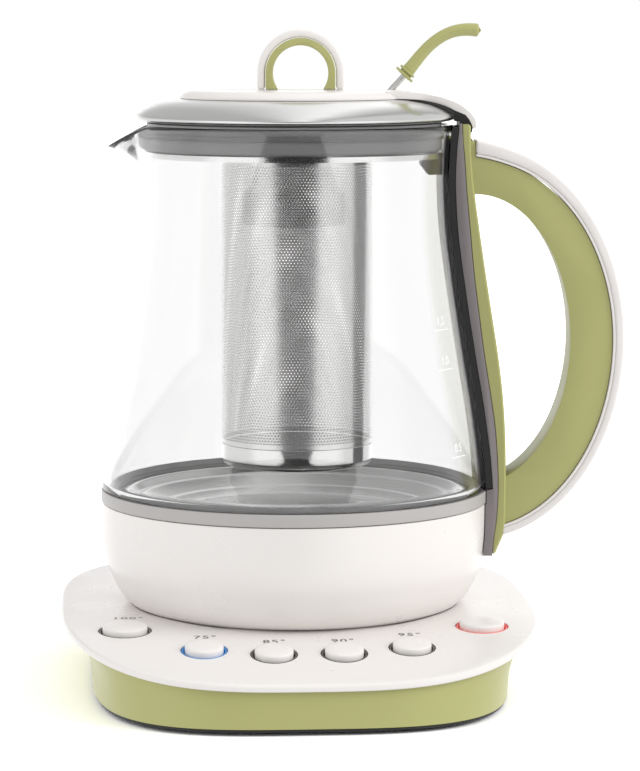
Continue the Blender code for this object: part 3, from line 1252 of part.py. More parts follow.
def lid_plate():
    """White plate on the dome, drawn out into the tongue that bends over the hinge."""
    edge = LID_PLATE_RADIUS - LID_PLATE_CHAMFER
    profile = [(0.0, PLATE_TOP_Z), (edge, PLATE_TOP_Z),
               (LID_PLATE_RADIUS, PLATE_TOP_Z - LID_PLATE_THICKNESS * 0.7),
               (LID_PLATE_RADIUS, PLATE_BOTTOM_Z), (0.0, PLATE_BOTTOM_Z)]
    plate = turned("lid_top_plate", profile, WHITE, LID, STEPS_LARGE, False, location=LID_ORIGIN)
    tongue = loft("tongue", tongue_loops(), None, KETTLE)
    boolean(plate, tongue, "UNION")
    hole = tube("rod_hole", lever_points(LEVER_ROD_SHARES), LEVER_ROD_RADIUS + GAP, None, KETTLE)
    boolean(plate, hole)
    return plate


def knuckle(dome_profile, pin_tool):
    """Black hinge block under the tongue with the barrel round the pin."""
    outline = [(HINGE_X + KNUCKLE_SIZE * x, HINGE_Z + KNUCKLE_SIZE * z) for x, z in KNUCKLE_SHARES]
    block = extruded("hinge_knuckle", outline, KNUCKLE_HALF_WIDTH, BLACK, LID, location=LID_ORIGIN)
    barrel = cylinder("barrel", BARREL_RADIUS, -KNUCKLE_HALF_WIDTH, KNUCKLE_HALF_WIDTH, None, KETTLE,
                      STEPS_SMALL, location=(HINGE_X, 0.0, HINGE_Z), rotation=(math.pi / 2.0, 0.0, 0.0))
    boolean(block, barrel, "UNION")
    clear = [(r + RUNNING_GAP, z + RUNNING_GAP) for r, z in dome_profile]
    clear[0] = (0.0, clear[0][1])
    low = DOME_TOP_Z - 2.0 * DOME_RIM_DROP
    dome_tool = turned("dome_cut", clear + [(DOME_RADIUS + RUNNING_GAP, low), (0.0, low)], None,
                       KETTLE, STEPS_LARGE, False)
    boolean(block, dome_tool)
    boolean(block, loft("tongue_room", tongue_loops(GAP), None, KETTLE))
    boolean(block, pin_tool)
    return block


def knob():
    """White arch with a green insert, flat inside faces and a round finger hole."""
    base = PLATE_TOP_Z + GAP
    centre = PLATE_TOP_Z + KNOB_CENTRE_HEIGHT

    def arch(radius):
        points = [(KNOB_X + radius, base)]
        for angle in spread(0.0, math.pi, KNOB_ARC_POINTS):
            points.append((KNOB_X + radius * math.cos(angle), centre + radius * math.sin(angle)))
        return points + [(KNOB_X - radius, base)]

    outer = arch(KNOB_RADIUS)
    inner = arch(KNOB_INSERT_RADIUS + GAP)
    extruded("knob_arch", outer + list(reversed(inner)), KNOB_HALF_WIDTH, WHITE, LID, KNOB_ROUND, 1,
             location=LID_ORIGIN)
    chord = math.asin(min(1.0, (centre - base) / KNOB_HOLE_RADIUS))
    hole = []
    for angle in spread(math.pi + chord, -chord, KNOB_ARC_POINTS + 4):
        hole.append((KNOB_X + KNOB_HOLE_RADIUS * math.cos(angle),
                     centre + KNOB_HOLE_RADIUS * math.sin(angle)))
    extruded("knob_insert", arch(KNOB_INSERT_RADIUS) + hole, KNOB_INSERT_HALF_WIDTH, GREEN, LID,
             KNOB_ROUND / 3.0, 1, location=LID_ORIGIN)


def lever_points(shares):
    return [(LEVER_X + LEVER_REACH * x, 0.0, PLATE_TOP_Z + LEVER_RISE * z) for x, z in shares]


def thumb_lever():
    """Steel rod out of the plate and its soft green grip with two collars."""
    rod = lever_points(LEVER_ROD_SHARES)
    tube("lever_rod", rod, LEVER_ROD_RADIUS, STEEL, LID, location=LID_ORIGIN)
    points = lever_points(LEVER_GRIP_SHARES)
    grip = tube("lever_grip", points, LEVER_GRIP_RADIUS, GREEN, LID,
                thickness=LEVER_THICKNESS_SHARES, location=LID_ORIGIN)
    way = (Vector(rod[1]) - Vector(rod[0])).normalized()
    tilt = math.atan2(way.x, way.z)
    first = Vector(points[0]) + way * LEVER_COLLAR_THICKNESS
    for i in range(2):
        radius = LEVER_COLLAR_RADIUS * (1.0 if i == 0 else LEVER_COLLAR_SMALL_SHARE)
        middle = first + way * (LEVER_COLLAR_SPACING * i)
        disc = cylinder(f"collar_{i}", radius, -LEVER_COLLAR_THICKNESS / 2.0,
                        LEVER_COLLAR_THICKNESS / 2.0, None, KETTLE, STEPS_SMALL,
                        location=middle, rotation=(0.0, tilt, 0.0))
        boolean(grip, disc, "UNION")
    bore = tube("rod_bore", [rod[0], Vector(rod[1]) + way * GAP], LEVER_ROD_RADIUS + GAP, None, KETTLE)
    boolean(grip, bore)
    return grip


def hinge_pin():
    half = SPINE_HALF_WIDTH - SPINE_EDGE
    return cylinder("hinge_pin", PIN_RADIUS, -half, half, STEEL, KETTLE, STEPS_MEDIUM,
                    location=(HINGE_X, 0.0, HINGE_Z), rotation=(math.pi / 2.0, 0.0, 0.0))


# The whole model

def main():
    plate = base_plate()
    skirt = base_skirt()
    cover = base_bottom_cover()
    base_feet()
    connector(plate)
    switches = button_set(plate)
    base_fasteners(plate, cover)
    control_board(cover, switches)
    cord_gland(skirt)
    housing()
    housing_floor()
    kettle_connector()
    trim_band()
    heating_plate()
    heater()
    temperature_sensor()
    glass_seal()
    glass_jug()
    basket()
    collar_lug()
    body_tool = body_cutter()
    slot = hinge_slot_cutters()
    pin_tool = pin_cutter("pin_bore", PIN_RADIUS + PIN_CLEARANCE, SPINE_HALF_WIDTH + OVERRUN)
    handle_spine(body_tool, slot, pin_tool)
    handle_shell(slot, pin_tool)
    handle_cover()
    hinge_pin()
    _, dome_profile = dome()
    lid_core()
    lid_gasket()
    lid_plate()
    knuckle(dome_profile, pin_tool)
    knob()
    thumb_lever()
    bpy.context.view_layer.update()


main()
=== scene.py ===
import json
import math

import bmesh
import bpy
from bpy.props import FloatProperty, FloatVectorProperty, IntProperty, PointerProperty
from bpy.types import Operator, Panel, PropertyGroup
from mathutils import Matrix, Vector


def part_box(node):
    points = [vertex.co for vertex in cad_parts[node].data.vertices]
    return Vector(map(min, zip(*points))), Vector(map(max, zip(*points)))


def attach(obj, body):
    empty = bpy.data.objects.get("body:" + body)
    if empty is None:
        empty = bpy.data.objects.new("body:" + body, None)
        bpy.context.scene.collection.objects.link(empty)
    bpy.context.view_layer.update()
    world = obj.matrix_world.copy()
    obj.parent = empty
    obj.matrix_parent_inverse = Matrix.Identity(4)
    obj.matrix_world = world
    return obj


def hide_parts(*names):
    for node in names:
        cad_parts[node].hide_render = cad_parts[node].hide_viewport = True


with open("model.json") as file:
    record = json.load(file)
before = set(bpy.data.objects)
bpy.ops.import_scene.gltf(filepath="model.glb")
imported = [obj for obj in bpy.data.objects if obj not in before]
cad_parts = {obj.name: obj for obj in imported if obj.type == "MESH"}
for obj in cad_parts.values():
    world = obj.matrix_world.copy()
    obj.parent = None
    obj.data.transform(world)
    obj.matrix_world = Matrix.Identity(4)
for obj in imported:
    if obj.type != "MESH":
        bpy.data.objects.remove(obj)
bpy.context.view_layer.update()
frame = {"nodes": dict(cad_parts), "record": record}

bl_info = {
    "name": "Electric tea kettle",
    "version": (1, 0, 0),
    "blender": (4, 5, 0),
    "location": "View3D > Sidebar > Kettle",
    "description": "Dresses the packed tea kettle and sets up its studio",
    "category": "Object",
}

# The frame as it was packed

BAND_LOW, BAND_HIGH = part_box("trim_band")
KETTLE_X = (BAND_LOW[0] + BAND_HIGH[0]) / 2.0
KETTLE_Y = (BAND_LOW[1] + BAND_HIGH[1]) / 2.0
PIN_LOW, PIN_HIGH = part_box("hinge_pin")
MM = 0.001
INK = 0.02 * MM
CLOUD_SIZE = 24.0 * MM


def hex_colour(text):
    """A colour written as sRGB hex, as linear red, green and blue."""
    values = []
    for i in (1, 3, 5):
        channel = int(text[i:i + 2], 16) / 255.0
        low = channel <= 0.04045
        values.append(channel / 12.92 if low else ((channel + 0.055) / 1.055) ** 2.4)
    return tuple(values)


def length(name, description, millimetres):
    return FloatProperty(name=name, description=description, default=millimetres * MM,
                         unit="LENGTH", precision=4)


def colour(name, description, text):
    return FloatVectorProperty(name=name, description=description, default=hex_colour(text),
                               subtype="COLOR", min=0.0, max=1.0)


# Sizes and colours that a user would change

class KettleFinishes(PropertyGroup):
    white: colour("White ABS", "Housing, base plate, lid plate and grip cover", "#ECE8E5")
    green: colour("Green ABS", "Grip, strip, skirt, knob insert and lever", "#AEAE70")
    grey: colour("Grey ABS", "Spine and pin", "#857E7F")
    # The band's paler grey is painted light on the spine's grey ABS
    band: colour("Band grey", "Trim band over the housing", "#B4B1AF")
    ring: colour("Ring grey", "Plain rings round the buttons", "#4C4846")
    blue: colour("Blue light guide", "Ring of the 75 degree button", "#1E7FC4")
    red: colour("Red light guide", "Ring of the power button", "#E8301F")
    seal: colour("Seal grey", "Silicone seal of the lid", "#B4B4B4")
    print_grey: colour("Print grey", "Temperature numbers", "#75706D")


class KettleBody(PropertyGroup):
    foot_radius: length("Glass foot radius", "Outside of the glass at its foot", 76.9)
    neck_radius: length("Neck radius", "Outside of the glass at the neck", 62.0)
    neck_height: length("Neck height", "Height of the narrowest line of the glass", 198.0)
    rim_height: length("Rim height", "Height of the glass rim", 221.0)
    rim_flare: length("Rim flare", "How far the rim stands out past the neck", 1.4)
    wall: length("Glass wall", "Thickness of the blown wall", 3.1)
    spout_reach: length("Spout reach", "How far the lip is drawn out", 11.2)
    spout_droop: length("Spout droop", "How far the lip is drawn down", 8.6)
    housing_radius: length("Housing radius", "Widest line of the heated housing", 76.6)
    housing_top: length("Housing top", "Height of the housing's upper edge", 71.6)
    housing_bottom: length("Housing bottom", "Height of the housing's lower edge", 30.3)
    housing_wall: length("Housing wall", "Thickness of the housing", 2.5)


class KettleBasket(PropertyGroup):
    centre: length("Offset", "Place of the basket along X from the kettle's axis", 1.0)
    radius: length("Radius", "Outside of the perforated wall", 30.0)
    bottom: length("Bottom", "Height of the cup's underside", 86.2)
    top: length("Top", "Height of the wall's upper edge", 208.1)
    pitch: length("Hole pitch", "Distance between neighbouring holes", 1.3)
    hole_share: FloatProperty(name="Hole share", description="Width of a hole as a share of the pitch",
                              default=0.5, min=0.2, max=0.9)


class KettleBase(PropertyGroup):
    half_width: length("Half width", "Half width of the top plate", 93.2)
    front: length("Front", "Reach of the plate to the front", 114.5)
    back: length("Back", "Reach of the plate to the back", 110.0)
    top: length("Top", "Height of the flat seat", 31.0)
    thickness: length("Thickness", "Thickness of the top plate", 3.2)
    fall_start: length("Fall start", "Where the plate starts to fall, in front of the axis", 35.0)
    fall_radius: length("Fall radius", "Radius of the falling front", 285.0)
    seat_radius: length("Seat radius", "Radius of the recess for the jug", 65.4)
    foot_half_width: length("Foot half width", "Half width of the skirt at the foot", 81.2)
    foot_front: length("Foot front", "Reach of the skirt's foot to the front", 112.8)
    foot_back: length("Foot back", "Reach of the skirt's foot to the back", 105.0)
    yaw: FloatProperty(name="Yaw", description="Turn of the base under the jug",
                       default=math.radians(4.0), unit="ROTATION")


class KettleStudio(PropertyGroup):
    camera_side: length("Camera side", "Place of the camera along X from the kettle's axis", 10.15)
    camera_back: length("Camera distance", "Distance of the camera in front of the axis", 1304.7)
    camera_height: length("Camera height", "Height of the camera over the table", 268.1)
    pitch: FloatProperty(name="Pitch", description="How far the camera looks down",
                         default=math.radians(6.6), unit="ROTATION")
    focal_share: FloatProperty(name="Focal share", description="Focal length as a share of the frame's height",
                               default=3300.0 / 771.0)
    steps: IntProperty(name="Steps", description="Steps round a turned piece", default=160, min=32)

# Sizes that follow from how the pieces meet

GLASS_FOOT_RISE = 5.6 * MM
BAND_HEIGHT = 5.0 * MM
BAND_PROUD = 0.4 * MM
GAP = 0.3 * MM
SPINE_TOP, SPINE_BOTTOM, SPINE_HALF = 221.6 * MM, 51.0 * MM, 15.0 * MM
STRIP_TOP, STRIP_BOTTOM, STRIP_HALF = 221.3 * MM, 51.4 * MM, 13.8 * MM
# Thickness of the black lining, painted shade between the glass and the spine
SHADE_LINING = 2.6 * MM


# Outlines: shares of the sizes above, and the handle's seams as (height, place along X) in millimetres

GLASS_SHARES = (
    (0.0, 1.0), (0.08, 0.955), (0.16, 0.883), (0.28, 0.748), (0.42, 0.56),
    (0.55, 0.394), (0.68, 0.24), (0.81, 0.1), (0.9, 0.035), (1.0, 0.0),
)
HOUSING_SHARES = (
    (0.0, 0.822), (0.03, 0.856), (0.107, 0.898), (0.2, 0.93), (0.3, 0.954),
    (0.4, 0.974), (0.5, 0.986), (0.62, 0.994), (0.8, 0.999), (1.0, 1.0),
)
SPINE_FACE = (
    (51.0, 78.3), (57.4, 78.7), (65.4, 79.8), (77.4, 80.4), (90.9, 80.0), (104.4, 78.8), (117.0, 76.9),
    (131.4, 74.6), (147.0, 72.5), (163.7, 70.4), (180.6, 68.8), (195.8, 67.4), (207.5, 66.6), (215.0, 65.9),
    (221.6, 65.6),
)
STRIP_FACE = (
    (51.4, 79.4), (56.0, 81.4), (61.0, 83.2), (75.0, 83.6), (90.8, 83.5), (104.3, 83.0), (117.0, 82.0),
    (131.2, 80.2), (147.0, 77.7), (163.6, 75.1), (180.5, 72.6), (195.7, 70.5), (208.0, 69.4), (215.0, 69.15),
    (221.3, 69.0),
)
FLARE_SHARES = ((0.0, 0.0), (0.25, 0.04), (0.45, 0.12), (0.65, 0.29), (0.78, 0.5), (0.9, 0.76), (1.0, 1.0))


# Curves and helpers

def along(table, share):
    """Smooth value at a share along a table of (share, value) rows."""
    rows = list(table)
    if share <= rows[0][0]:
        return rows[0][1]
    if share >= rows[-1][0]:
        return rows[-1][1]
    for i in range(len(rows) - 1):
        if share <= rows[i + 1][0]:
            break
    left, right = rows[i], rows[i + 1]
    width = right[0] - left[0]
    rise = (right[1] - left[1]) / width
    before = rise if i == 0 else (right[1] - rows[i - 1][1]) / (right[0] - rows[i - 1][0])
    after = rise if i + 2 == len(rows) else (rows[i + 2][1] - left[1]) / (rows[i + 2][0] - left[0])
    t = (share - left[0]) / width
    hold = (1.0 + 2.0 * t) * (1.0 - t) ** 2 * left[1] + t * t * (3.0 - 2.0 * t) * right[1]
    lean = width * (t * (1.0 - t) ** 2 * before - t * t * (1.0 - t) * after)
    return hold + lean


def spread(low, high, count):
    return [low + (high - low) * i / (count - 1) for i in range(count)]


def flowing(points, per_span=6):
    """A smooth run of points through the given ones."""
    rows = [Vector(p) for p in points]
    padded = [rows[0] * 2.0 - rows[1]] + rows + [rows[-1] * 2.0 - rows[-2]]
    result = []
    for i in range(1, len(padded) - 2):
        a, b, c, d = padded[i - 1:i + 3]
        for step in range(per_span):
            t = step / per_span
            result.append(0.5 * ((b * 2.0) + (c - a) * t + (a * 2.0 - b * 5.0 + c * 4.0 - d) * t * t
                                 + (b * 3.0 - a - c * 3.0 + d) * t ** 3))
    return result + [rows[-1]]


def signed_power(value, power):
    return math.copysign(abs(value) ** power, value)


def superellipse(half_width, front, back, power, count=160):
    points = []
    for i in range(count):
        angle = math.tau * (i + 0.5) / count
        reach = back if math.sin(angle) > 0.0 else front
        points.append((half_width * signed_power(math.cos(angle), 2.0 / power),
                       reach * signed_power(math.sin(angle), 2.0 / power)))
    return points


def glass_radius(body, z):
    foot = body.housing_top + GLASS_FOOT_RISE
    if z <= body.neck_height:
        share = (z - foot) / (body.neck_height - foot)
        return body.neck_radius + (body.foot_radius - body.neck_radius) * along(GLASS_SHARES, share)
    share = (z - body.neck_height) / (body.rim_height - body.neck_height)
    return body.neck_radius + body.rim_flare * share * share


def housing_radius(body, z):
    share = (z - body.housing_bottom) / (body.housing_top - body.housing_bottom)
    return body.housing_radius * along(HOUSING_SHARES, share)


def body_radius(body, z):
    band_bottom = body.housing_top + GAP
    if z < band_bottom:
        return housing_radius(body, z)
    if z <= band_bottom + BAND_HEIGHT:
        return body.housing_radius + BAND_PROUD
    return glass_radius(body, z)


def spine_line(z):
    """Place along X of the seam between the grey spine and the green strip."""
    return along(SPINE_FACE, z / MM) * MM


def strip_line(z):
    """Place along X of the green strip's outer face."""
    return along(STRIP_FACE, z / MM) * MM


def plate_fall(base, y):
    ahead = max(0.0, -y - base.fall_start)
    return base.fall_radius - math.sqrt(base.fall_radius ** 2 - ahead * ahead)


def plate_tilt(base, y):
    return math.asin(max(0.0, -y - base.fall_start) / base.fall_radius)


# Materials

def node(tree, kind, inputs=(), **settings):
    """Adds a shader node, with its settings and its inputs as values or links."""
    made = tree.nodes.new(kind)
    for name, value in settings.items():
        setattr(made, name, value)
    for socket, value in inputs:
        if isinstance(value, bpy.types.NodeSocket):
            tree.links.new(value, made.inputs[socket])
        else:
            made.inputs[socket].default_value = value
    return made


def material(name, tint, roughness, **sockets):
    """A Principled material. Sockets are named with underscores for spaces."""
    mat = bpy.data.materials.new(name)
    mat.use_nodes = True
    shader = mat.node_tree.nodes["Principled BSDF"]
    shader.inputs["Base Color"].default_value = (*tint, 1.0)
    shader.inputs["Roughness"].default_value = roughness
    for socket, value in sockets.items():
        shader.inputs[socket.replace("_", " ")].default_value = value
    return mat


def surface(mat, relief, clouds, depth, strength, gloss):
    """Ties a relief to one noise, and a swing of gloss about its level to another."""
    tree = mat.node_tree
    shader = tree.nodes["Principled BSDF"]
    bump = node(tree, "ShaderNodeBump", [("Height", relief.outputs["Fac"]), ("Distance", depth),
                                         ("Strength", strength)])
    tree.links.new(bump.outputs["Normal"], shader.inputs["Normal"])
    if gloss > 0.0:
        rough = shader.inputs["Roughness"].default_value
        swing = node(tree, "ShaderNodeMapRange", [("Value", clouds.outputs["Fac"]), ("From Min", 0.3),
                                                 ("From Max", 0.7), ("To Min", rough - gloss),
                                                 ("To Max", rough + gloss)])
        tree.links.new(swing.outputs["Result"], shader.inputs["Roughness"])
    return mat


def textured(mat, size, depth, gloss):
    """Moulded grain with its size and depth, and a slow change of gloss over a larger distance."""
    tree = mat.node_tree
    place = node(tree, "ShaderNodeTexCoord")
    grain, clouds = [node(tree, "ShaderNodeTexNoise", [("Vector", place.outputs["Object"]), ("Scale", scale),
                                                      ("Detail", detail)])
                     for scale, detail in ((1.0 / size, 3.0), (1.0 / CLOUD_SIZE, 5.0))]
    return surface(mat, grain, clouds, depth, 0.6, gloss)


def spun_finish(mat, pitch, depth, gloss):
    """Fine turning lines round the kettle's axis, a pitch apart, as spinning and buffing leave them."""
    tree = mat.node_tree
    place = node(tree, "ShaderNodeTexCoord")
    centred = node(tree, "ShaderNodeMapping", [("Vector", place.outputs["Object"]),
                                               ("Location", (-KETTLE_X, -KETTLE_Y, 0.0))])
    parts = node(tree, "ShaderNodeSeparateXYZ", [("Vector", centred.outputs["Vector"])])
    flat = node(tree, "ShaderNodeCombineXYZ", [("X", parts.outputs["X"]), ("Y", parts.outputs["Y"])])
    radius = node(tree, "ShaderNodeVectorMath", [(0, flat.outputs["Vector"])], operation="LENGTH")
    line = node(tree, "ShaderNodeCombineXYZ", [("X", radius.outputs["Value"]), ("Y", parts.outputs["Z"])])
    noise = node(tree, "ShaderNodeTexNoise", [("Vector", line.outputs["Vector"]), ("Scale", 1.0 / pitch),
                                             ("Detail", 3.0)])
    return surface(mat, noise, noise, depth, 0.5, gloss)


def make_materials(finish):
    """Every finish of the kettle, by the record's material slot. Grain sizes and depths are in millimetres."""
    made = {}

    def moulded(slot, name, tint, roughness, grain, depth, gloss, **sockets):
        made[slot] = textured(material(name, tint, roughness, **sockets), grain * MM, depth * MM, gloss)

    # Warm white ABS, polished mould: clean soft highlights with a faint orange peel
    moulded("white_abs", "white_abs_gloss", finish.white, 0.3, 1.4, 0.006, 0.04, IOR=1.54)
    # Olive green ABS, satin mould: wide dull highlights
    moulded("green_abs", "green_abs_satin", finish.green, 0.4, 0.5, 0.008, 0.05, IOR=1.54)
    # Grey ABS, fine spark-eroded grain: dry and even
    moulded("grey_abs", "grey_abs_grained", finish.grey, 0.48, 0.35, 0.012, 0.05, IOR=1.54)
    # The spine's grey ABS, tinted paler as painted light on the band; satin mould, with a soft line of light
    # round the band
    moulded("band_lit_grey", "grey_abs_satin_lit", finish.band, 0.4, 0.35, 0.008, 0.04, IOR=1.54)
    # Black polypropylene, matt: soft sheen on the edges only
    moulded("black_plastic", "black_polypropylene_matt", hex_colour("#191919"), 0.5, 0.4, 0.012, 0.06, IOR=1.49)
    # Black satin, with silicone's IOR: painted shade, a dark sheet for the shaded gap between the glass and the
    # spine, with a faint sheen down it
    moulded("shade_lining", "black_shade_sheet_satin", hex_colour("#2E2E2E"), 0.4, 0.4, 0.008, 0.05, IOR=1.41)
    # Black rubber, dull: nearly no highlight
    moulded("black_rubber", "black_rubber_dull", hex_colour("#141414"), 0.8, 0.6, 0.02, 0.05, IOR=1.52)
    # Grey silicone, moulded: blurred reflections of the studio
    moulded("grey_silicone", "grey_silicone_moulded", finish.seal, 0.5, 0.6, 0.008, 0.06, IOR=1.41)
    # Borosilicate glass, blown: slow waves in the wall, greyer where it is seen edge on
    moulded("borosilicate_glass", "borosilicate_glass_blown", (1.0, 1.0, 1.0), 0.0, 22.0, 0.012, 0.0,
            IOR=1.474, Transmission_Weight=1.0)
    tree = made["borosilicate_glass"].node_tree
    tint = node(tree, "ShaderNodeVolumeAbsorption", [("Color", (*hex_colour("#202424"), 1.0)),
                                                    ("Density", 5.5)])
    tree.links.new(tint.outputs["Volume"], tree.nodes["Material Output"].inputs["Volume"])
    for slot, name, tint, roughness, pitch, depth, gloss in (
        # Stainless steel, polished: clear reflections with faint buffing lines
        ("polished_steel", "stainless_steel_polished", "#D6D6D5", 0.12, 0.5, 0.001, 0.03),
        # Stainless steel, pressed, with crisp steps: a darker mirror than the other steels, as painted shade on
        # the plate deep in the jug
        ("shaded_plate_steel", "stainless_steel_pressed_shaded", "#A9A9A8", 0.1, 0.5, 0.001, 0.03),
        # Stainless steel, satin spun: soft gradients over the dome
        ("brushed_steel", "stainless_steel_satin", "#D2D2D1", 0.22, 0.4, 0.002, 0.05),
    ):
        made[slot] = spun_finish(material(name, hex_colour(tint), roughness, Metallic=1.0),
                                 pitch * MM, depth * MM, gloss)
    # Aluminium, as cast: dull and grainy
    moulded("cast_aluminium", "aluminium_cast", hex_colour("#B4B4B4"), 0.45, 0.8, 0.05, 0.08, Metallic=1.0)
    # Glass-fibre board, green lacquer over copper
    moulded("circuit_board", "circuit_board_lacquered", hex_colour("#1E6B35"), 0.35, 0.5, 0.01, 0.06, IOR=1.5)
    # Acrylic light guides, dyed: glossy, and lit a little from inside
    for shade, tint in (("blue", finish.blue), ("red", finish.red)):
        moulded(f"{shade}_light_guide", f"{shade}_acrylic_polished", tint, 0.2, 1.0, 0.004, 0.04, IOR=1.49,
                Emission_Color=(*tint, 1.0), Emission_Strength=0.15)
    # Grey acrylic, unlit: glossy rims round the plain buttons
    moulded("ring_grey", "grey_acrylic_polished", finish.ring, 0.25, 1.0, 0.004, 0.04, IOR=1.49)
    # Grey pad-printing ink: flat and dry, thinner in places
    moulded("print_grey", "grey_pad_print_ink", finish.print_grey, 0.6, 0.3, 0.01, 0.05, IOR=1.5)
    # White enamel fired on the glass
    moulded("print_white", "white_fired_enamel", hex_colour("#FAFAFA"), 0.5, 0.3, 0.01, 0.05, IOR=1.5)
    return made


MATERIALS = {}


# Making and placing pieces

def shade(mesh, degrees=32.0):
    mesh.shade_smooth()
    mesh.set_sharp_from_angle(angle=math.radians(degrees))


def piece(name, bm, slot, body, nodes=(), finish=None, turn=None, degrees=32.0):
    """Turns a bmesh into a finished piece of the kettle and ties it to the frame."""
    place = Matrix.Translation((KETTLE_X, KETTLE_Y, 0.0))
    if turn is not None:
        place = place @ turn
    bmesh.ops.transform(bm, matrix=place, verts=bm.verts)
    mesh = bpy.data.meshes.new(name)
    bm.to_mesh(mesh)
    bm.free()
    shade(mesh, degrees)
    mesh.materials.append(MATERIALS[finish or slot])
    obj = bpy.data.objects.new(name, mesh)
    bpy.context.scene.collection.objects.link(obj)
    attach(obj, body)
    for cad_node in nodes:
        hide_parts(cad_node)
    return obj


def base_turn(base):
    return Matrix.Rotation(base.yaw, 4, "Z")


def spun(profile, steps, closed=True):
    """A profile of (radius, height) points spun all the way round."""
    bm = bmesh.new()
    verts = [bm.verts.new((p[0], 0.0, p[1])) for p in profile]
    edges = [bm.edges.new(pair) for pair in zip(verts, verts[1:])]
    if closed:
        edges.append(bm.edges.new((verts[-1], verts[0])))
    bmesh.ops.spin(bm, geom=verts + edges, cent=(0.0, 0.0, 0.0), axis=(0.0, 0.0, 1.0),
                   dvec=(0.0, 0.0, 0.0), angle=math.tau, steps=steps, use_merge=True,
                   use_duplicate=False)
    bmesh.ops.remove_doubles(bm, verts=bm.verts, dist=0.001 * MM)
    bmesh.ops.recalc_face_normals(bm, faces=bm.faces)
    return bm


def sharp_edges(bm, degrees):
    limit = math.radians(degrees)
    bm.normal_update()
    return [e for e in bm.edges if len(e.link_faces) == 2 and e.calc_face_angle() > limit]


def round_edges(bm, width, segments=3, degrees=35.0, where=None):
    edges = [e for e in sharp_edges(bm, degrees) if where is None or where(e)]
    bmesh.ops.bevel(bm, geom=edges, offset=width, offset_type="OFFSET", segments=segments,
                    profile=0.5, affect="EDGES", material=-1, clamp_overlap=True)
    return bm


def closed_face(bm, points):
    """One flat face round a row of points."""
    verts = [bm.verts.new(p) for p in points]
    for pair in zip(verts, verts[1:] + verts[:1]):
        bm.edges.new(pair)
    bmesh.ops.contextual_create(bm, geom=list(bm.edges))


def extruded(bm):
    """Extrudes all faces, and gives back the new corners."""
    grown = bmesh.ops.extrude_face_region(bm, geom=list(bm.faces))
    return [v for v in grown["geom"] if isinstance(v, bmesh.types.BMVert)]


def slab(points, push):
    """A flat outline pushed out along a vector into a solid."""
    bm = bmesh.new()
    closed_face(bm, points)
    bmesh.ops.translate(bm, verts=extruded(bm), vec=push)
    bmesh.ops.recalc_face_normals(bm, faces=bm.faces)
    return bm


def prism(outline, half_width):
    """An (x, z) outline drawn out to each side along Y."""
    return slab([(x, -half_width, z) for x, z in outline], (0.0, 2.0 * half_width, 0.0))


def printed(words, size, align="CENTER", offset=0.0, spacing=1.0):
    """Flat printed words, with their middle at the origin."""
    text = bpy.data.curves.new("print", "FONT")
    text.body = words
    text.size = size
    text.offset = offset
    text.space_character = spacing
    text.align_x = "CENTER"
    text.align_y = align
    holder = bpy.data.objects.new("print", text)
    bpy.context.scene.collection.objects.link(holder)
    bpy.context.view_layer.update()
    graph = bpy.context.evaluated_depsgraph_get()
    mesh = bpy.data.meshes.new_from_object(holder.evaluated_get(graph))
    bpy.data.objects.remove(holder, do_unlink=True)
    bm = bmesh.new()
    bm.from_mesh(mesh)
    bpy.data.meshes.remove(mesh)
    return bm


def pipe(points, radii, sides=24):
    """A round bar along a row of points, with a radius at each."""
    bm = bmesh.new()
    rows = [Vector(p) for p in points]
    start = bmesh.ops.create_circle(bm, cap_ends=True, segments=sides, radius=1.0)
    ring = start["verts"]
    face = list(bm.faces)
    previous = Matrix.Identity(4)
    for i, point in enumerate(rows):
        way = rows[min(i + 1, len(rows) - 1)] - rows[max(i - 1, 0)]
        place = Matrix.Translation(point) @ way.to_track_quat("Z", "Y").to_matrix().to_4x4()
        place = place @ Matrix.Scale(radii[i], 4)
        if i == 0:
            bmesh.ops.transform(bm, matrix=place, verts=ring)
        else:
            grown = bmesh.ops.extrude_face_region(bm, geom=face)
            ring = [v for v in grown["geom"] if isinstance(v, bmesh.types.BMVert)]
            new_face = [f for f in grown["geom"] if isinstance(f, bmesh.types.BMFace)]
            if i > 1:
                bmesh.ops.delete(bm, geom=face, context="FACES_ONLY")
            face = new_face
            bmesh.ops.transform(bm, matrix=place @ previous.inverted(), verts=ring)
        previous = place
    bmesh.ops.recalc_face_normals(bm, faces=bm.faces)
    return bm


def cylinder(bm, radius, low, high, sides, matrix=Matrix.Identity(4)):
    middle = Matrix.Translation((0.0, 0.0, (low + high) / 2.0))
    return bmesh.ops.create_cone(bm, cap_ends=True, segments=sides, radius1=radius, radius2=radius,
                                 depth=high - low, matrix=matrix @ middle)


def cut(bm, tools, operation="DIFFERENCE"):
    """Cuts closed tool bmeshes out of a bmesh, or joins them to it."""
    holders = []
    for i, source in enumerate([bm] + tools):
        mesh = bpy.data.meshes.new(f"cut_{i}")
        source.to_mesh(mesh)
        source.free()
        holder = bpy.data.objects.new(f"cut_{i}", mesh)
        bpy.context.scene.collection.objects.link(holder)
        holders.append(holder)
    for tool in holders[1:]:
        modifier = holders[0].modifiers.new("cut", "BOOLEAN")
        modifier.operation = operation
        modifier.solver = "EXACT"
        modifier.object = tool
    bpy.context.view_layer.update()
    graph = bpy.context.evaluated_depsgraph_get()
    result = bmesh.new()
    result.from_mesh(holders[0].evaluated_get(graph).to_mesh())
    for holder in holders:
        mesh = holder.data
        bpy.data.objects.remove(holder, do_unlink=True)
        bpy.data.meshes.remove(mesh)
    return result


class KettlePieceOperator:
    """Shared settings of the operators."""
    bl_options = {"REGISTER", "UNDO"}


# Glass jug

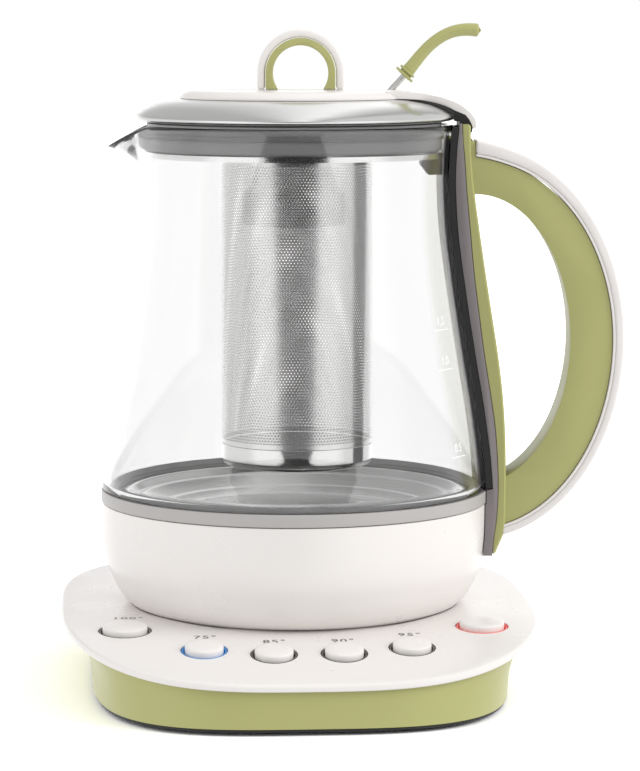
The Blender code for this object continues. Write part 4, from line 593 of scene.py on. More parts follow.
class KETTLE_OT_glass_jug(KettlePieceOperator, Operator):
    """Spins the blown wall and draws the spout out of its neck"""
    bl_idname = "kettle.glass_jug"
    bl_label = "Glass jug"

    def execute(self, context):
        body = context.scene.kettle_body
        foot = body.housing_top + GLASS_FOOT_RISE
        lip = 1.3 * MM
        heights = spread(body.rim_height - lip, body.neck_height, 18)
        heights += spread(body.neck_height, foot + lip / 2.0, 40)[1:]
        wall = body.wall
        outer = [(glass_radius(body, z), z) for z in heights]
        inner = [(glass_radius(body, z) - wall, z) for z in reversed(heights)]
        middle = glass_radius(body, body.rim_height) - wall / 2.0
        rim = [(middle + wall / 2.0 * math.cos(a), body.rim_height - lip + lip * math.sin(a))
               for a in spread(math.pi, 0.0, 9)][1:-1]
        middle = glass_radius(body, foot) - wall / 2.0
        base = [(middle + wall / 2.0 * math.cos(a), foot + lip / 2.0 - lip / 2.0 * math.sin(a))
                for a in spread(0.0, math.pi, 7)][1:-1]
        bm = spun(outer + base + inner + rim, 256)
        root = 200.0 * MM
        half_angle = math.radians(27.0)
        for vert in bm.verts:
            rise = (vert.co.z - root) / (body.rim_height - root)
            angle = abs(math.atan2(vert.co.y, -vert.co.x))
            if rise <= 0.0 or angle >= half_angle:
                continue
            rise = min(rise, 1.0)
            hump = math.cos(angle / half_angle * math.pi / 2.0) ** 2
            radius = math.hypot(vert.co.x, vert.co.y)
            grown = 1.0 + body.spout_reach * hump * rise ** 2.2 / radius
            vert.co.x *= grown
            vert.co.y *= grown * (1.0 - 0.35 * hump * rise)
            vert.co.z -= body.spout_droop * hump * rise ** 1.5
        piece("glass_wall", bm, "borosilicate_glass", "jug", ["glass_jug"], degrees=60.0)
        return {"FINISHED"}


class KETTLE_OT_level_marks(KettlePieceOperator, Operator):
    """Prints the level lines and their numbers on the glass beside the spine"""
    bl_idname = "kettle.level_marks"
    bl_label = "Level marks"

    LEVELS = ((143.0, 57.0, "1,2"), (127.8, 58.9, "1,0"), (94.1, 64.0, "0,5"))
    HALF_LINE = 5.2 * MM

    def execute(self, context):
        body = context.scene.kettle_body
        for i, (height, middle, number) in enumerate(self.LEVELS):
            z = height * MM
            radius = glass_radius(body, z) + INK
            centre = -math.acos(middle * MM / radius)
            bm = printed(number, 4.6 * MM, "BOTTOM")
            bmesh.ops.translate(bm, verts=bm.verts, vec=(0.0, 1.0 * MM, 0.0))
            line = bmesh.ops.create_grid(bm, x_segments=16, y_segments=1, size=0.5)
            bmesh.ops.scale(bm, verts=line["verts"], vec=(2.0 * self.HALF_LINE, 0.35 * MM, 1.0))
            for vert in bm.verts:
                angle = centre + vert.co.x / radius
                height_here = z + vert.co.y
                skin = glass_radius(body, height_here) + INK
                vert.co = (skin * math.cos(angle), skin * math.sin(angle), height_here)
            piece(f"level_mark_{i + 1}", bm, "borosilicate_glass", "jug", finish="print_white")
        return {"FINISHED"}


# Heated housing

class KETTLE_OT_housing(KettlePieceOperator, Operator):
    """Spins the white housing, its grey band and the stepped heating plate"""
    bl_idname = "kettle.housing"
    bl_label = "Heated housing"

    PLATE = (
        (70.2, 76.0), (66.9, 76.0), (66.2, 75.85), (65.6, 75.3), (64.2, 73.8), (63.5, 73.25),
        (62.9, 73.05), (62.4, 73.2), (61.9, 73.2), (61.3, 72.95), (60.6, 72.5), (55.4, 69.5),
        (54.8, 69.25), (54.3, 69.2), (53.7, 69.0), (53.0, 68.6), (49.6, 67.0), (48.6, 66.7),
        (47.2, 66.55), (45.5, 66.5),
    )

    def execute(self, context):
        body = context.scene.kettle_body
        steps = context.scene.kettle_studio.steps
        heights = spread(body.housing_top, body.housing_bottom, 60)
        outer = [(housing_radius(body, z), z) for z in heights]
        lip = 2.8 * MM
        inner = [(r - body.housing_wall, z) for r, z in reversed(outer) if z > body.housing_bottom + lip]
        foot = [(60.2 * MM, body.housing_bottom), (60.2 * MM, body.housing_bottom + lip)]
        bm = round_edges(spun(outer + foot + inner, steps), 0.35 * MM, 2)
        piece("housing_shell", bm, "white_abs", "jug", ["lower_housing"])

        low = body.housing_top + GAP
        high = low + BAND_HEIGHT
        radius = body.housing_radius + BAND_PROUD
        profile = [(radius, high), (radius, low), (67.5 * MM, low), (67.5 * MM, low + 1.2 * MM),
                   (70.5 * MM, low + 1.2 * MM), (70.5 * MM, high)]
        bm = round_edges(spun(profile, steps), 0.45 * MM, 3)
        # The band's paler grey is painted light
        piece("band_ring", bm, "grey_abs", "jug", ["trim_band"], finish="band_lit_grey")

        top = [(r * MM, z * MM) for r, z in self.PLATE]
        bm = spun([(0.0, top[-1][1])] + list(reversed(top)), steps, False)
        bmesh.ops.solidify(bm, geom=list(bm.faces), thickness=1.0 * MM)
        bmesh.ops.recalc_face_normals(bm, faces=bm.faces)
        # The plate's darker steel is painted shade
        piece("hot_plate", bm, "brushed_steel", "jug", ["heating_plate"], finish="shaded_plate_steel",
              degrees=50.0)

        low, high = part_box("temperature_sensor")
        x = (low[0] + high[0]) / 2.0 - KETTLE_X
        y = (low[1] + high[1]) / 2.0 - KETTLE_Y
        radius = (high[0] - low[0]) / 2.0
        rise = high[2] - low[2]
        dome = [(radius * math.cos(a), low[2] + rise * math.sin(a)) for a in spread(math.pi / 2.0, 0.0, 9)]
        dome[0] = (0.0, dome[0][1])
        bm = spun(dome + [(0.0, low[2])], 48, False)
        bmesh.ops.translate(bm, verts=bm.verts, vec=(x, y, 0.0))
        piece("sensor_dome", bm, "polished_steel", "jug", ["temperature_sensor"])
        return {"FINISHED"}


# Infuser basket

class KETTLE_OT_basket(KettlePieceOperator, Operator):
    """Builds the perforated wall from hexagonal cells, its cup and its collar"""
    bl_idname = "kettle.basket"
    bl_label = "Infuser basket"

    def execute(self, context):
        basket = context.scene.kettle_basket
        steps = context.scene.kettle_studio.steps
        shift = Matrix.Translation((basket.centre, 0.0, 0.0))
        self.perforated_wall(basket, shift)

        sheet = 0.6 * MM
        height = 8.5 * MM
        corner = 2.6 * MM
        radius = basket.radius
        top = basket.bottom + height
        rounding = [(radius - corner + corner * math.cos(a), basket.bottom + corner + corner * math.sin(a))
                    for a in spread(0.0, -math.pi / 2.0, 10)]
        inside = [(radius - corner + (corner - sheet) * math.cos(a),
                   basket.bottom + corner + (corner - sheet) * math.sin(a))
                  for a in spread(-math.pi / 2.0, 0.0, 8)]
        profile = ([(radius, top)] + rounding + [(0.0, basket.bottom), (0.0, basket.bottom + sheet)]
                   + inside + [(radius - sheet, top)])
        bm = spun(profile, steps)
        bmesh.ops.transform(bm, matrix=shift, verts=bm.verts)
        piece("cup", bm, "polished_steel", "jug", ["basket_cup"])

        body = context.scene.kettle_body
        low = basket.top + GAP
        high = low + 2.4 * MM
        seat_low = glass_radius(body, low) - body.wall - GAP - basket.centre
        seat_high = glass_radius(body, high) - body.wall - GAP - basket.centre
        wall = 1.0 * MM
        inner = radius - sheet
        profile = [(seat_high - wall, high), (seat_high, high - GAP), (seat_low, low), (inner, low),
                   (inner, low + wall), (seat_high - 2.0 * wall, low + wall)]
        bm = spun(profile, steps)
        bmesh.ops.transform(bm, matrix=shift, verts=bm.verts)
        piece("collar", bm, "polished_steel", "jug", ["basket_collar"])
        return {"FINISHED"}

    def perforated_wall(self, basket, shift):
        low = basket.bottom + 8.8 * MM
        radius = basket.radius
        sheet = 0.6 * MM
        columns = round(math.tau * radius / basket.pitch)
        pitch = math.tau * radius / columns
        row_step = pitch * math.sqrt(3.0) / 2.0
        margin = 1.6 * MM
        rows = int((basket.top - low - 2.0 * margin) / row_step)
        start = low + margin + row_step / 2.0
        bm = bmesh.new()
        cell = pitch / math.sqrt(3.0)
        hole = pitch * basket.hole_share / 2.0
        turn = Matrix.Rotation(math.pi / 2.0, 4, "X") @ Matrix.Rotation(math.pi / 6.0, 4, "Z")
        rim = bmesh.ops.create_circle(bm, cap_ends=True, segments=6, radius=cell)
        bmesh.ops.transform(bm, matrix=turn, verts=rim["verts"])
        inset = bmesh.ops.inset_region(bm, faces=list(bm.faces), thickness=pitch / 2.0 - hole,
                                       use_boundary=True, use_even_offset=True)
        ring = set(inset["faces"])
        bmesh.ops.delete(bm, geom=[f for f in bm.faces if f not in ring], context="FACES")
        one = list(bm.verts) + list(bm.edges) + list(bm.faces)
        bmesh.ops.translate(bm, verts=bm.verts, vec=(0.0, 0.0, start))
        for row in range(1, rows):
            copy = bmesh.ops.duplicate(bm, geom=one)
            verts = [g for g in copy["geom"] if isinstance(g, bmesh.types.BMVert)]
            side = pitch / 2.0 if row % 2 else 0.0
            bmesh.ops.translate(bm, verts=verts, vec=(side, 0.0, row * row_step))
        for vert in bm.verts:
            angle = vert.co.x / radius
            vert.co = (radius * math.sin(angle), -radius * math.cos(angle), vert.co.z)
        bmesh.ops.spin(bm, geom=list(bm.verts) + list(bm.edges) + list(bm.faces), cent=(0.0, 0.0, 0.0),
                       axis=(0.0, 0.0, 1.0), dvec=(0.0, 0.0, 0.0), angle=math.tau, steps=columns,
                       use_duplicate=True, use_merge=False)
        bmesh.ops.remove_doubles(bm, verts=bm.verts, dist=0.02 * MM)
        bmesh.ops.transform(bm, matrix=shift, verts=bm.verts)
        piece("perforated_sheet", bm, "brushed_steel", "jug", ["basket_wall"], degrees=60.0)

        first = start - cell / 2.0
        last = start + (rows - 1) * row_step + cell / 2.0
        for name, bottom, top in (("lower_seam", low, first), ("upper_seam", last, basket.top)):
            outside = radius + 0.02 * MM
            profile = [(outside, top), (outside, bottom), (radius - sheet, bottom), (radius - sheet, top)]
            bm = spun(profile, 96)
            bmesh.ops.transform(bm, matrix=shift, verts=bm.verts)
            piece(name, bm, "brushed_steel", "jug")


# Handle

HANDLE_CENTRE = (71.0 * MM, 137.0 * MM)
GRIP_OUTER = (58.8 * MM, 76.2 * MM, 79.5 * MM)
GRIP_FINGER = (37.7 * MM, 57.0 * MM, 58.0 * MM)
COVER_TOP = math.radians(89.8)
COVER_END = math.radians(-78.5)
COVER_SHARES = ((0.0, 6.2), (0.05, 5.8), (0.15, 5.4), (0.35, 4.7), (0.55, 4.3), (1.0, 4.0))
COVER_LIP = 1.1 * MM
COVER_HALF, LIP_HALF, GRIP_HALF = 13.8 * MM, 13.5 * MM, 12.6 * MM
CROWN_START = math.radians(72.0)
CROWN_LIFT = 1.8 * MM


def cover_thickness(share):
    """Thickness of the white cover at a share of the way down the grip."""
    return along(COVER_SHARES, share) * MM


def handle_arc(sizes, start, end, count, inset=None, crown=0.0):
    """Points of one of the handle's curves, with an inset along it and a lift at its top."""
    points = []
    for i, angle in enumerate(spread(start, end, count)):
        less = inset(i / (count - 1)) if inset else 0.0
        reach = sizes[0] - less
        height = (sizes[1] if math.sin(angle) > 0.0 else sizes[2]) - less
        rise = max(0.0, (angle - CROWN_START) / (math.pi / 2.0 - CROWN_START)) ** 2
        points.append((HANDLE_CENTRE[0] + reach * math.cos(angle),
                       HANDLE_CENTRE[1] + height * math.sin(angle) + crown * rise))
    return points


class KETTLE_OT_handle(KettlePieceOperator, Operator):
    """Builds the grey spine with its black lining of painted shade, the green strip with its grip and the white
    cover
    """
    bl_idname = "kettle.handle"
    bl_label = "Handle"

    def execute(self, context):
        body = context.scene.kettle_body
        heights = spread(SPINE_TOP, SPINE_BOTTOM, 70)
        back = [(spine_line(z), z) for z in heights]
        front = [(body_radius(body, z) - 5.0 * MM, z) for z in reversed(heights)]
        bm = prism(back + front, SPINE_HALF)
        tips = (SPINE_BOTTOM + 0.1 * MM, SPINE_TOP - 0.1 * MM)
        round_edges(bm, 1.2 * MM, 3,
                    where=lambda e: not tips[0] <= min(v.co.z for v in e.verts) <= tips[1])
        bm = cut(bm, [spun(self.body_line(body), 256, False)] + self.hinge_tools())
        side = SPINE_HALF - 0.01 * MM
        round_edges(bm, 0.5 * MM, 2, 60.0, lambda e: all(abs(v.co.y) > side for v in e.verts))
        piece("spine", bm, "grey_abs", "jug", ["handle_spine"], degrees=40.0)
        # The black lining between the glass and the spine is painted shade
        self.shade_lining(body)
        self.grip()

        outer, step, inner = [
            handle_arc(GRIP_OUTER, COVER_TOP, COVER_END, 110, inset, CROWN_LIFT)
            for inset in (None, lambda s: cover_thickness(s) - COVER_LIP, cover_thickness)]
        bm = round_edges(prism(outer + list(reversed(step)), COVER_HALF), 0.9 * MM, 4, 50.0)
        piece("grip_cover", bm, "white_abs", "jug", ["handle_cover"], degrees=40.0)
        bm = round_edges(prism(step + list(reversed(inner)), LIP_HALF), 0.3 * MM, 2, 50.0)
        piece("cover_lip", bm, "white_abs", "jug", degrees=40.0)
        return {"FINISHED"}

    def body_line(self, body):
        """Outside of the jug with room for the black lining of painted shade, which ends in a step above the
        band.
        """
        room = 0.4 * MM
        foot = body.housing_top + 0.1 * MM
        zs = spread(SPINE_TOP + 4.0 * MM, body.housing_top + 6.0 * MM, 50)
        low = spread(foot, SPINE_BOTTOM - 4.0 * MM, 16)
        band = body.housing_radius + BAND_PROUD + room
        profile = [(0.0, zs[0])] + [(body_radius(body, min(z, body.rim_height)) + (room + SHADE_LINING), z)
                                    for z in zs]
        profile += [(band, body.housing_top + 5.6 * MM), (band, body.housing_top + 0.11 * MM)]
        return profile + [(body_radius(body, z) + room, z) for z in low] + [(0.0, low[-1])]

    def shade_lining(self, body):
        """Painted shade: a black lining that fills the space between the glass and the spine, where the glass
        reads dark.
        """
        half = SPINE_HALF - 0.2 * MM
        bm = bmesh.new()
        bmesh.ops.create_grid(bm, x_segments=16, y_segments=60, size=0.5)
        low, high = body.housing_top + 6.3 * MM, SPINE_TOP - 1.5 * MM
        for vert in bm.verts:
            y = vert.co.x * 2.0 * half
            z = low + (high - low) * (vert.co.y + 0.5)
            vert.co = (math.sqrt((glass_radius(body, z) + GAP) ** 2 - y * y), y, z)
        bmesh.ops.recalc_face_normals(bm, faces=bm.faces)
        for vert in extruded(bm):
            radius = math.hypot(vert.co.x, vert.co.y)
            share = (radius + SHADE_LINING) / radius
            vert.co.x *= share
            vert.co.y = max(-half, min(half, vert.co.y * share))
        bmesh.ops.recalc_face_normals(bm, faces=bm.faces)
        bm = cut(bm, self.hinge_tools())
        piece("spine_shade_lining", bm, "black_rubber", "jug", finish="shade_lining", degrees=40.0)

    def grip(self):
        """Green strip with wide chamfers, and the grip that grows out of it."""
        heights = spread(STRIP_BOTTOM, STRIP_TOP, 80)
        line = [(spine_line(z) + GAP, z) for z in heights]
        face = [(strip_line(z), z) for z in reversed(heights)]
        bm = prism(line + face, STRIP_HALF)
        bmesh.ops.remove_doubles(bm, verts=bm.verts, dist=0.02 * MM)

        def outer_edge(edge):
            return all(v.co.x > strip_line(v.co.z) - 0.05 * MM for v in edge.verts)
        round_edges(bm, 2.8 * MM, 1, 60.0, outer_edge)
        arc = handle_arc(GRIP_OUTER, COVER_TOP, COVER_END, 90, lambda s: cover_thickness(s) + GAP, CROWN_LIFT)
        arc = [p for p in arc if p[0] > strip_line(p[1]) - 1.0 * MM]
        tab = [(HANDLE_CENTRE[0] - 3.0 * MM, 214.8 * MM), (HANDLE_CENTRE[0] - 0.5 * MM, 214.8 * MM),
               (HANDLE_CENTRE[0] - 0.1 * MM, 214.2 * MM), (arc[0][0], arc[0][1])]
        foot = [(strip_line(z) - 1.0 * MM, z) for z in spread(arc[-1][1], tab[0][1], 60)]
        grip = prism(tab + arc[1:] + foot[:-1], GRIP_HALF)
        loop = handle_arc(GRIP_FINGER, math.radians(90.0), math.radians(-90.0), 90)
        inner = [p for p in loop if p[0] > strip_line(p[1]) - 2.0 * MM]
        close = [(strip_line(z) - 2.0 * MM, z) for z in spread(inner[-1][1], inner[0][1], 40)]
        grip = cut(grip, [prism(inner + close[1:-1], 30.0 * MM)])
        bmesh.ops.remove_doubles(grip, verts=grip.verts, dist=0.02 * MM)
        bmesh.ops.dissolve_degenerate(grip, edges=grip.edges, dist=0.02 * MM)
        round_edges(grip, 1.0 * MM, 3, 50.0)
        bm = cut(bm, [grip], "UNION")
        bm = cut(bm, self.hinge_tools())
        piece("grip", bm, "green_abs", "jug", ["handle_shell"], degrees=35.0)

    def hinge_tools(self):
        """Room for the knuckle, and a blind hole for the pin in each cheek."""
        tools = []
        for radius, half in ((6.4 * MM, 10.8 * MM), (1.2 * MM, 13.4 * MM)):
            tool = bmesh.new()
            cylinder(tool, radius, -half, half, 64, pin_place())
            tools.append(tool)
        return tools


def pin_place():
    """The hinge's axis, with the local Z along the pin."""
    x = (PIN_LOW[0] + PIN_HIGH[0]) / 2.0 - KETTLE_X
    z = (PIN_LOW[2] + PIN_HIGH[2]) / 2.0
    return Matrix.Translation((x, 0.0, z)) @ Matrix.Rotation(math.pi / 2.0, 4, "X")


# Lid

# Outlines of the lid as (radius or place along X, height) in millimetres

DOME = (
    (0.0, 231.2), (30.0, 231.2), (45.0, 231.2), (49.0, 230.8), (53.0, 229.9), (56.0, 228.9),
    (58.4, 227.8), (60.2, 226.8), (61.6, 225.9), (62.6, 225.1), (63.2, 224.3), (63.3, 223.7),
    (62.9, 223.1), (61.8, 222.6), (60.2, 222.3), (58.6, 222.15), (57.2, 222.1),
)
DOME_SHEET = 0.8 * MM
GASKET = (
    (58.0, 221.6), (58.0, 220.3), (58.5, 219.95), (59.1, 219.7), (59.2, 219.5), (58.9, 219.3),
    (58.0, 219.15), (57.9, 218.4), (58.4, 218.0), (59.1, 217.75), (59.2, 217.6), (58.9, 217.4),
    (58.0, 217.2), (57.9, 216.6), (58.4, 216.35), (59.0, 216.15), (59.15, 216.0), (58.9, 215.8),
    (58.2, 215.5), (58.1, 212.4), (57.8, 211.5), (57.2, 211.1), (55.6, 211.1), (55.6, 221.6),
)
TONGUE_TOP = (
    (36.0, 234.4), (42.0, 234.3), (49.5, 233.5), (53.5, 232.7), (57.1, 231.9), (61.0, 230.6),
    (64.9, 228.9), (67.8, 226.9), (69.5, 225.3), (70.8, 223.4), (71.3, 221.8), (71.4, 220.3),
    (71.3, 219.8),
)
TONGUE_UNDER = (
    (36.0, 231.35), (42.0, 231.35), (48.5, 231.0), (51.5, 230.5), (54.5, 229.8), (58.0, 228.8),
    (61.2, 227.5), (64.1, 226.0), (66.1, 224.5), (67.7, 222.7), (68.9, 220.9), (69.6, 219.9),
    (69.8, 219.7),
)
TONGUE_HALF = ((36.0, 23.0), (47.0, 18.9), (58.2, 12.9), (65.6, 10.5), (73.0, 10.4))


class KETTLE_OT_lid(KettlePieceOperator, Operator):
    """Spins the steel dome and the ribbed seal, and builds the top plate with its tongue"""
    bl_idname = "kettle.lid"
    bl_label = "Lid"

    def execute(self, context):
        steps = context.scene.kettle_studio.steps
        top = [(r * MM, z * MM) for r, z in DOME]
        bm = spun(top, steps, False)
        bmesh.ops.solidify(bm, geom=list(bm.faces), thickness=DOME_SHEET)
        bmesh.ops.recalc_face_normals(bm, faces=bm.faces)
        piece("dome", bm, "polished_steel", "lid", ["lid_dome"], finish="brushed_steel", degrees=60.0)

        profile = [(r * MM, z * MM) for r, z in GASKET]
        piece("seal_ring", spun(profile, steps), "grey_silicone", "lid", ["lid_gasket"], degrees=50.0)
        self.top_plate(steps)
        # Black wedge under the tongue: partly the knuckle, partly painted shade
        self.knuckle_and_shade_wedge()
        self.pin()
        return {"FINISHED"}

    def top_plate(self, steps):
        low, high = 231.3 * MM, 234.4 * MM
        radius = 45.0 * MM
        profile = [(0.0, high), (38.0 * MM, high), (40.0 * MM, high - 0.05 * MM), (41.6 * MM, high - 0.3 * MM),
                   (43.2 * MM, high - 1.0 * MM), (44.3 * MM, high - 1.8 * MM), (44.9 * MM, high - 2.4 * MM),
                   (radius, high - 2.7 * MM), (radius, low), (0.0, low)]
        bm = spun(profile, steps, False)
        piece("plate_disc", bm, "white_abs", "lid", ["lid_top_plate"], degrees=50.0)
        rows = []
        upper = flowing([(x, 0.0, z) for x, z in TONGUE_TOP], 4)
        under = flowing([(x, 0.0, z) for x, z in TONGUE_UNDER], 4)
        bm = bmesh.new()
        for a, b in zip(upper, under):
            half = self.half_width(a.x)
            rows.append([bm.verts.new(p) for p in (
                (a.x * MM, -half, a.z * MM), (a.x * MM, half, a.z * MM),
                (b.x * MM, half, b.z * MM), (b.x * MM, -half, b.z * MM))])
        loops = []
        for row in rows:
            loops.append([bm.edges.new(pair) for pair in zip(row, row[1:] + row[:1])])
        for first, second in zip(loops, loops[1:]):
            bmesh.ops.bridge_loops(bm, edges=first + second)
        bmesh.ops.contextual_create(bm, geom=loops[0])
        bmesh.ops.contextual_create(bm, geom=loops[-1])
        bmesh.ops.recalc_face_normals(bm, faces=bm.faces)
        round_edges(bm, 0.9 * MM, 4, 50.0)
        piece("tongue", bm, "white_abs", "lid", degrees=45.0)

    def half_width(self, x):
        """Half the tongue's width at a place along X."""
        return along(TONGUE_HALF, x) * MM

    def knuckle_and_shade_wedge(self):
        """Black wedge that fills the space between the dome and the tongue: partly the knuckle's black plastic,
        partly painted shade where the seam lies in shadow.
        """
        bm = bmesh.new()
        bmesh.ops.create_grid(bm, x_segments=24, y_segments=20, size=0.5)
        dome = [row for row in DOME if row[1] > 223.0]
        for vert in bm.verts:
            x = 43.0 + 19.6 * (vert.co.x + 0.5)
            y = vert.co.y * 2.0 * (self.half_width(x) / MM - 0.7)
            vert.co = (x * MM, y * MM, (along(TONGUE_UNDER, x) - 0.1) * MM)
        bmesh.ops.recalc_face_normals(bm, faces=bm.faces)
        for vert in extruded(bm):
            radius = min(math.hypot(vert.co.x, vert.co.y) / MM, 63.3)
            vert.co.z = min(vert.co.z - 0.02 * MM, (along(dome, radius) + 0.12) * MM)
        bmesh.ops.recalc_face_normals(bm, faces=bm.faces)
        piece("tongue_knuckle_and_shade_wedge", bm, "black_plastic", "lid", degrees=45.0)

    def pin(self):
        """Steel pin through the knuckle, whose ends sit in the blind holes of the cheeks."""
        bm = bmesh.new()
        cylinder(bm, 1.1 * MM, -13.2 * MM, 13.2 * MM, 32, pin_place())
        round_edges(bm, 0.2 * MM, 2, 50.0)
        piece("pin", bm, "polished_steel", "jug", ["hinge_pin"], degrees=40.0)


class KETTLE_OT_knob(KettlePieceOperator, Operator):
    """Builds the white arch and its green insert"""
    bl_idname = "kettle.knob"
    bl_label = "Ring knob"

    def execute(self, context):
        base, centre, middle = 234.7 * MM, 241.0 * MM, 2.5 * MM

        def arch(radius):
            points = [(middle + radius, base)]
            points += [(middle + radius * math.cos(a), centre + radius * math.sin(a))
                       for a in spread(0.0, math.pi, 49)]
            return points + [(middle - radius, base)]

        outer, inner = arch(17.0 * MM), arch(14.0 * MM)
        bm = prism(outer + list(reversed(inner)), 5.0 * MM)
        round_edges(bm, 0.9 * MM, 4, 50.0)
        piece("arch", bm, "white_abs", "lid", ["knob_arch"], degrees=40.0)

        radius = 10.9 * MM
        chord = math.asin((centre - base) / radius)
        hole = [(middle + radius * math.cos(a), centre + radius * math.sin(a))
                for a in spread(math.pi + chord, -chord, 61)]
        bm = prism(arch(13.7 * MM) + hole, 5.6 * MM)
        round_edges(bm, 0.5 * MM, 3, 50.0)
        piece("insert", bm, "green_abs", "lid", ["knob_insert"], degrees=40.0)
        return {"FINISHED"}


class KETTLE_OT_lever(KettlePieceOperator, Operator):
    """Builds the steel rod and the green grip of the thumb lever"""
    bl_idname = "kettle.lever"
    bl_label = "Thumb lever"

    GRIP = ((43.0, 239.9, 2.6), (45.0, 242.1, 2.6), (47.5, 245.2, 2.45), (50.3, 248.6, 2.35),
            (53.6, 252.0, 2.3), (57.9, 255.2, 2.3), (62.8, 257.3, 2.35), (67.8, 258.0, 2.5), (71.7, 257.8, 2.6))
    COLLARS = ((43.4, 240.4, 4.2), (44.5, 241.7, 3.5))

    def execute(self, context):
        rod = [(36.5 * MM, 0.0, 232.6 * MM), (38.0 * MM, 0.0, 234.3 * MM), (47.0 * MM, 0.0, 244.0 * MM)]
        piece("rod", pipe(rod, [1.2 * MM] * 3, 24), "polished_steel", "lid", ["lever_rod"])
        rows = flowing([(x, r, z) for x, z, r in self.GRIP], 5)
        points = [(p.x * MM, 0.0, p.z * MM) for p in rows]
        radii = [p.y * MM for p in rows]
        way = (Vector(points[-1]) - Vector(points[-2])).normalized()
        end = Vector(points[-1])
        points += [end + way * 0.5 * MM, end + way * 0.8 * MM, end + way * 0.9 * MM]
        radii += [radii[-1] * 0.93, radii[-1] * 0.7, radii[-1] * 0.3]
        piece("lever_sleeve", pipe(points, radii, 40), "green_abs", "lid", ["lever_grip"])
        way = (Vector(rod[-1]) - Vector(rod[0])).normalized()
        lean = way.to_track_quat("Z", "Y").to_matrix().to_4x4()
        for i, (x, z, radius) in enumerate(self.COLLARS):
            bm = bmesh.new()
            cylinder(bm, radius * MM, -0.5 * MM, 0.5 * MM, 48,
                     Matrix.Translation((x * MM, 0.0, z * MM)) @ lean)
            round_edges(bm, 0.3 * MM, 3, 50.0)
            piece(f"lever_collar_{i + 1}", bm, "green_abs", "lid")
        return {"FINISHED"}


# Power base

BUTTONS = (
    ("heat_100", -68.6, -58.0, True, "ring_grey", "100°", 1.3, 20.5),
    ("heat_75", -39.2, -82.9, False, "blue_light_guide", "75°", 0.8, 14.6),
    ("heat_85", -13.2, -87.9, False, "ring_grey", "85°", 0.8, 13.4),
    ("heat_90", 13.2, -87.9, False, "ring_grey", "90°", 0.4, 13.4),
    ("heat_95", 39.2, -82.9, False, "ring_grey", "95°", 0.4, 14.6),
    ("power", 68.6, -58.0, True, "red_light_guide", "", 0.0, 0.0),
)
ROW_CAP, END_CAP, RING_WIDTH = 7.3 * MM, 8.6 * MM, 1.7 * MM
CONNECTOR_HOLE = 14.3 * MM


def button_place(base, x, y):
    """Where a button stands on the falling plate, and its tilt."""
    stand = Matrix.Translation((x * MM, y * MM, base.top - plate_fall(base, y * MM)))
    return stand @ Matrix.Rotation(plate_tilt(base, y * MM), 4, "X")


class KETTLE_OT_base(KettlePieceOperator, Operator):
    """Builds the white top plate with its wells, the green skirt and the black floor"""
    bl_idname = "kettle.base"
    bl_label = "Power base"

    def execute(self, context):
        base = context.scene.kettle_base
        turn = base_turn(base)
        outline = superellipse(base.half_width, base.front, base.back, 3.1, 180)
        bm = slab([(x, y, base.top) for x, y in outline], (0.0, 0.0, -base.thickness))
        round_edges(bm, 1.2 * MM, 5, 50.0)
        cuts = [((0.0, y, 0.0), (0.0, 1.0, 0.0)) for y in spread(-base.fall_start, -base.front, 34)[:-1]]
        cuts += [((x, 0.0, 0.0), (1.0, 0.0, 0.0)) for x in spread(-base.half_width, base.half_width, 25)[1:-1]]
        for point, way in cuts:
            bmesh.ops.bisect_plane(bm, geom=list(bm.verts) + list(bm.edges) + list(bm.faces),
                                   dist=0.0001 * MM, plane_co=point, plane_no=way)
        for vert in bm.verts:
            vert.co.z -= plate_fall(base, vert.co.y)
        bmesh.ops.triangulate(bm, faces=[f for f in bm.faces if len(f.verts) > 4])
        # The jug's shallow seat, the hole for its connector, and a well for each button
        over = base.top + 5.0 * MM
        bores = [(base.seat_radius, base.top - 1.0 * MM, over, 192, Matrix.Identity(4)),
                 (CONNECTOR_HOLE, 0.0, over, 64, Matrix.Identity(4))]
        bores += [((END_CAP if end else ROW_CAP) + RING_WIDTH, -12.0 * MM, 6.0 * MM, 72,
                   button_place(base, x, y)) for name, x, y, end, *_ in BUTTONS]
        tools = []
        for bore in bores:
            tools.append(bmesh.new())
            cylinder(tools[-1], *bore)
        bm = cut(bm, tools)
        piece("top_plate", bm, "white_abs", "base", ["base_top_plate"], turn=turn, degrees=28.0)

        self.skirt(base, turn)
        self.floor(base, turn)
        return {"FINISHED"}

    def skirt(self, base, turn):
        inset = 2.4 * MM
        bottom = 2.7 * MM
        bm = bmesh.new()
        loops = []
        for share in spread(0.0, 1.0, 22):
            flare = along(FLARE_SHARES, share)
            half = base.foot_half_width + (base.half_width - inset - base.foot_half_width) * flare
            front = base.foot_front + (base.front - inset - base.foot_front) * flare
            back = base.foot_back + (base.back - inset - base.foot_back) * flare
            row = []
            for x, y in superellipse(half, front, back, 3.4 - 0.3 * flare, 180):
                top = base.top - plate_fall(base, y) - base.thickness - 0.15 * MM
                row.append(bm.verts.new((x, y, bottom + (top - bottom) * share)))
            loops.append([bm.edges.new(pair) for pair in zip(row, row[1:] + row[:1])])
        for first, second in zip(loops, loops[1:]):
            bmesh.ops.bridge_loops(bm, edges=first + second)
        bmesh.ops.recalc_face_normals(bm, faces=bm.faces)
        middle = bm.faces[0]
        if middle.normal.dot(middle.calc_center_median()) < 0.0:
            bmesh.ops.reverse_faces(bm, faces=bm.faces)
        bmesh.ops.solidify(bm, geom=list(bm.faces), thickness=2.5 * MM)
        piece("skirt", bm, "green_abs", "base", ["base_skirt"], turn=turn, degrees=40.0)

    def floor(self, base, turn):
        inset = 0.6 * MM
        outline = superellipse(base.foot_half_width - inset, base.foot_front - inset,
                               base.foot_back - inset, 3.4, 180)
        bm = slab([(x, y, 1.5 * MM) for x, y in outline], (0.0, 0.0, 0.9 * MM))
        piece("bottom_edge", bm, "black_plastic", "base", turn=turn)


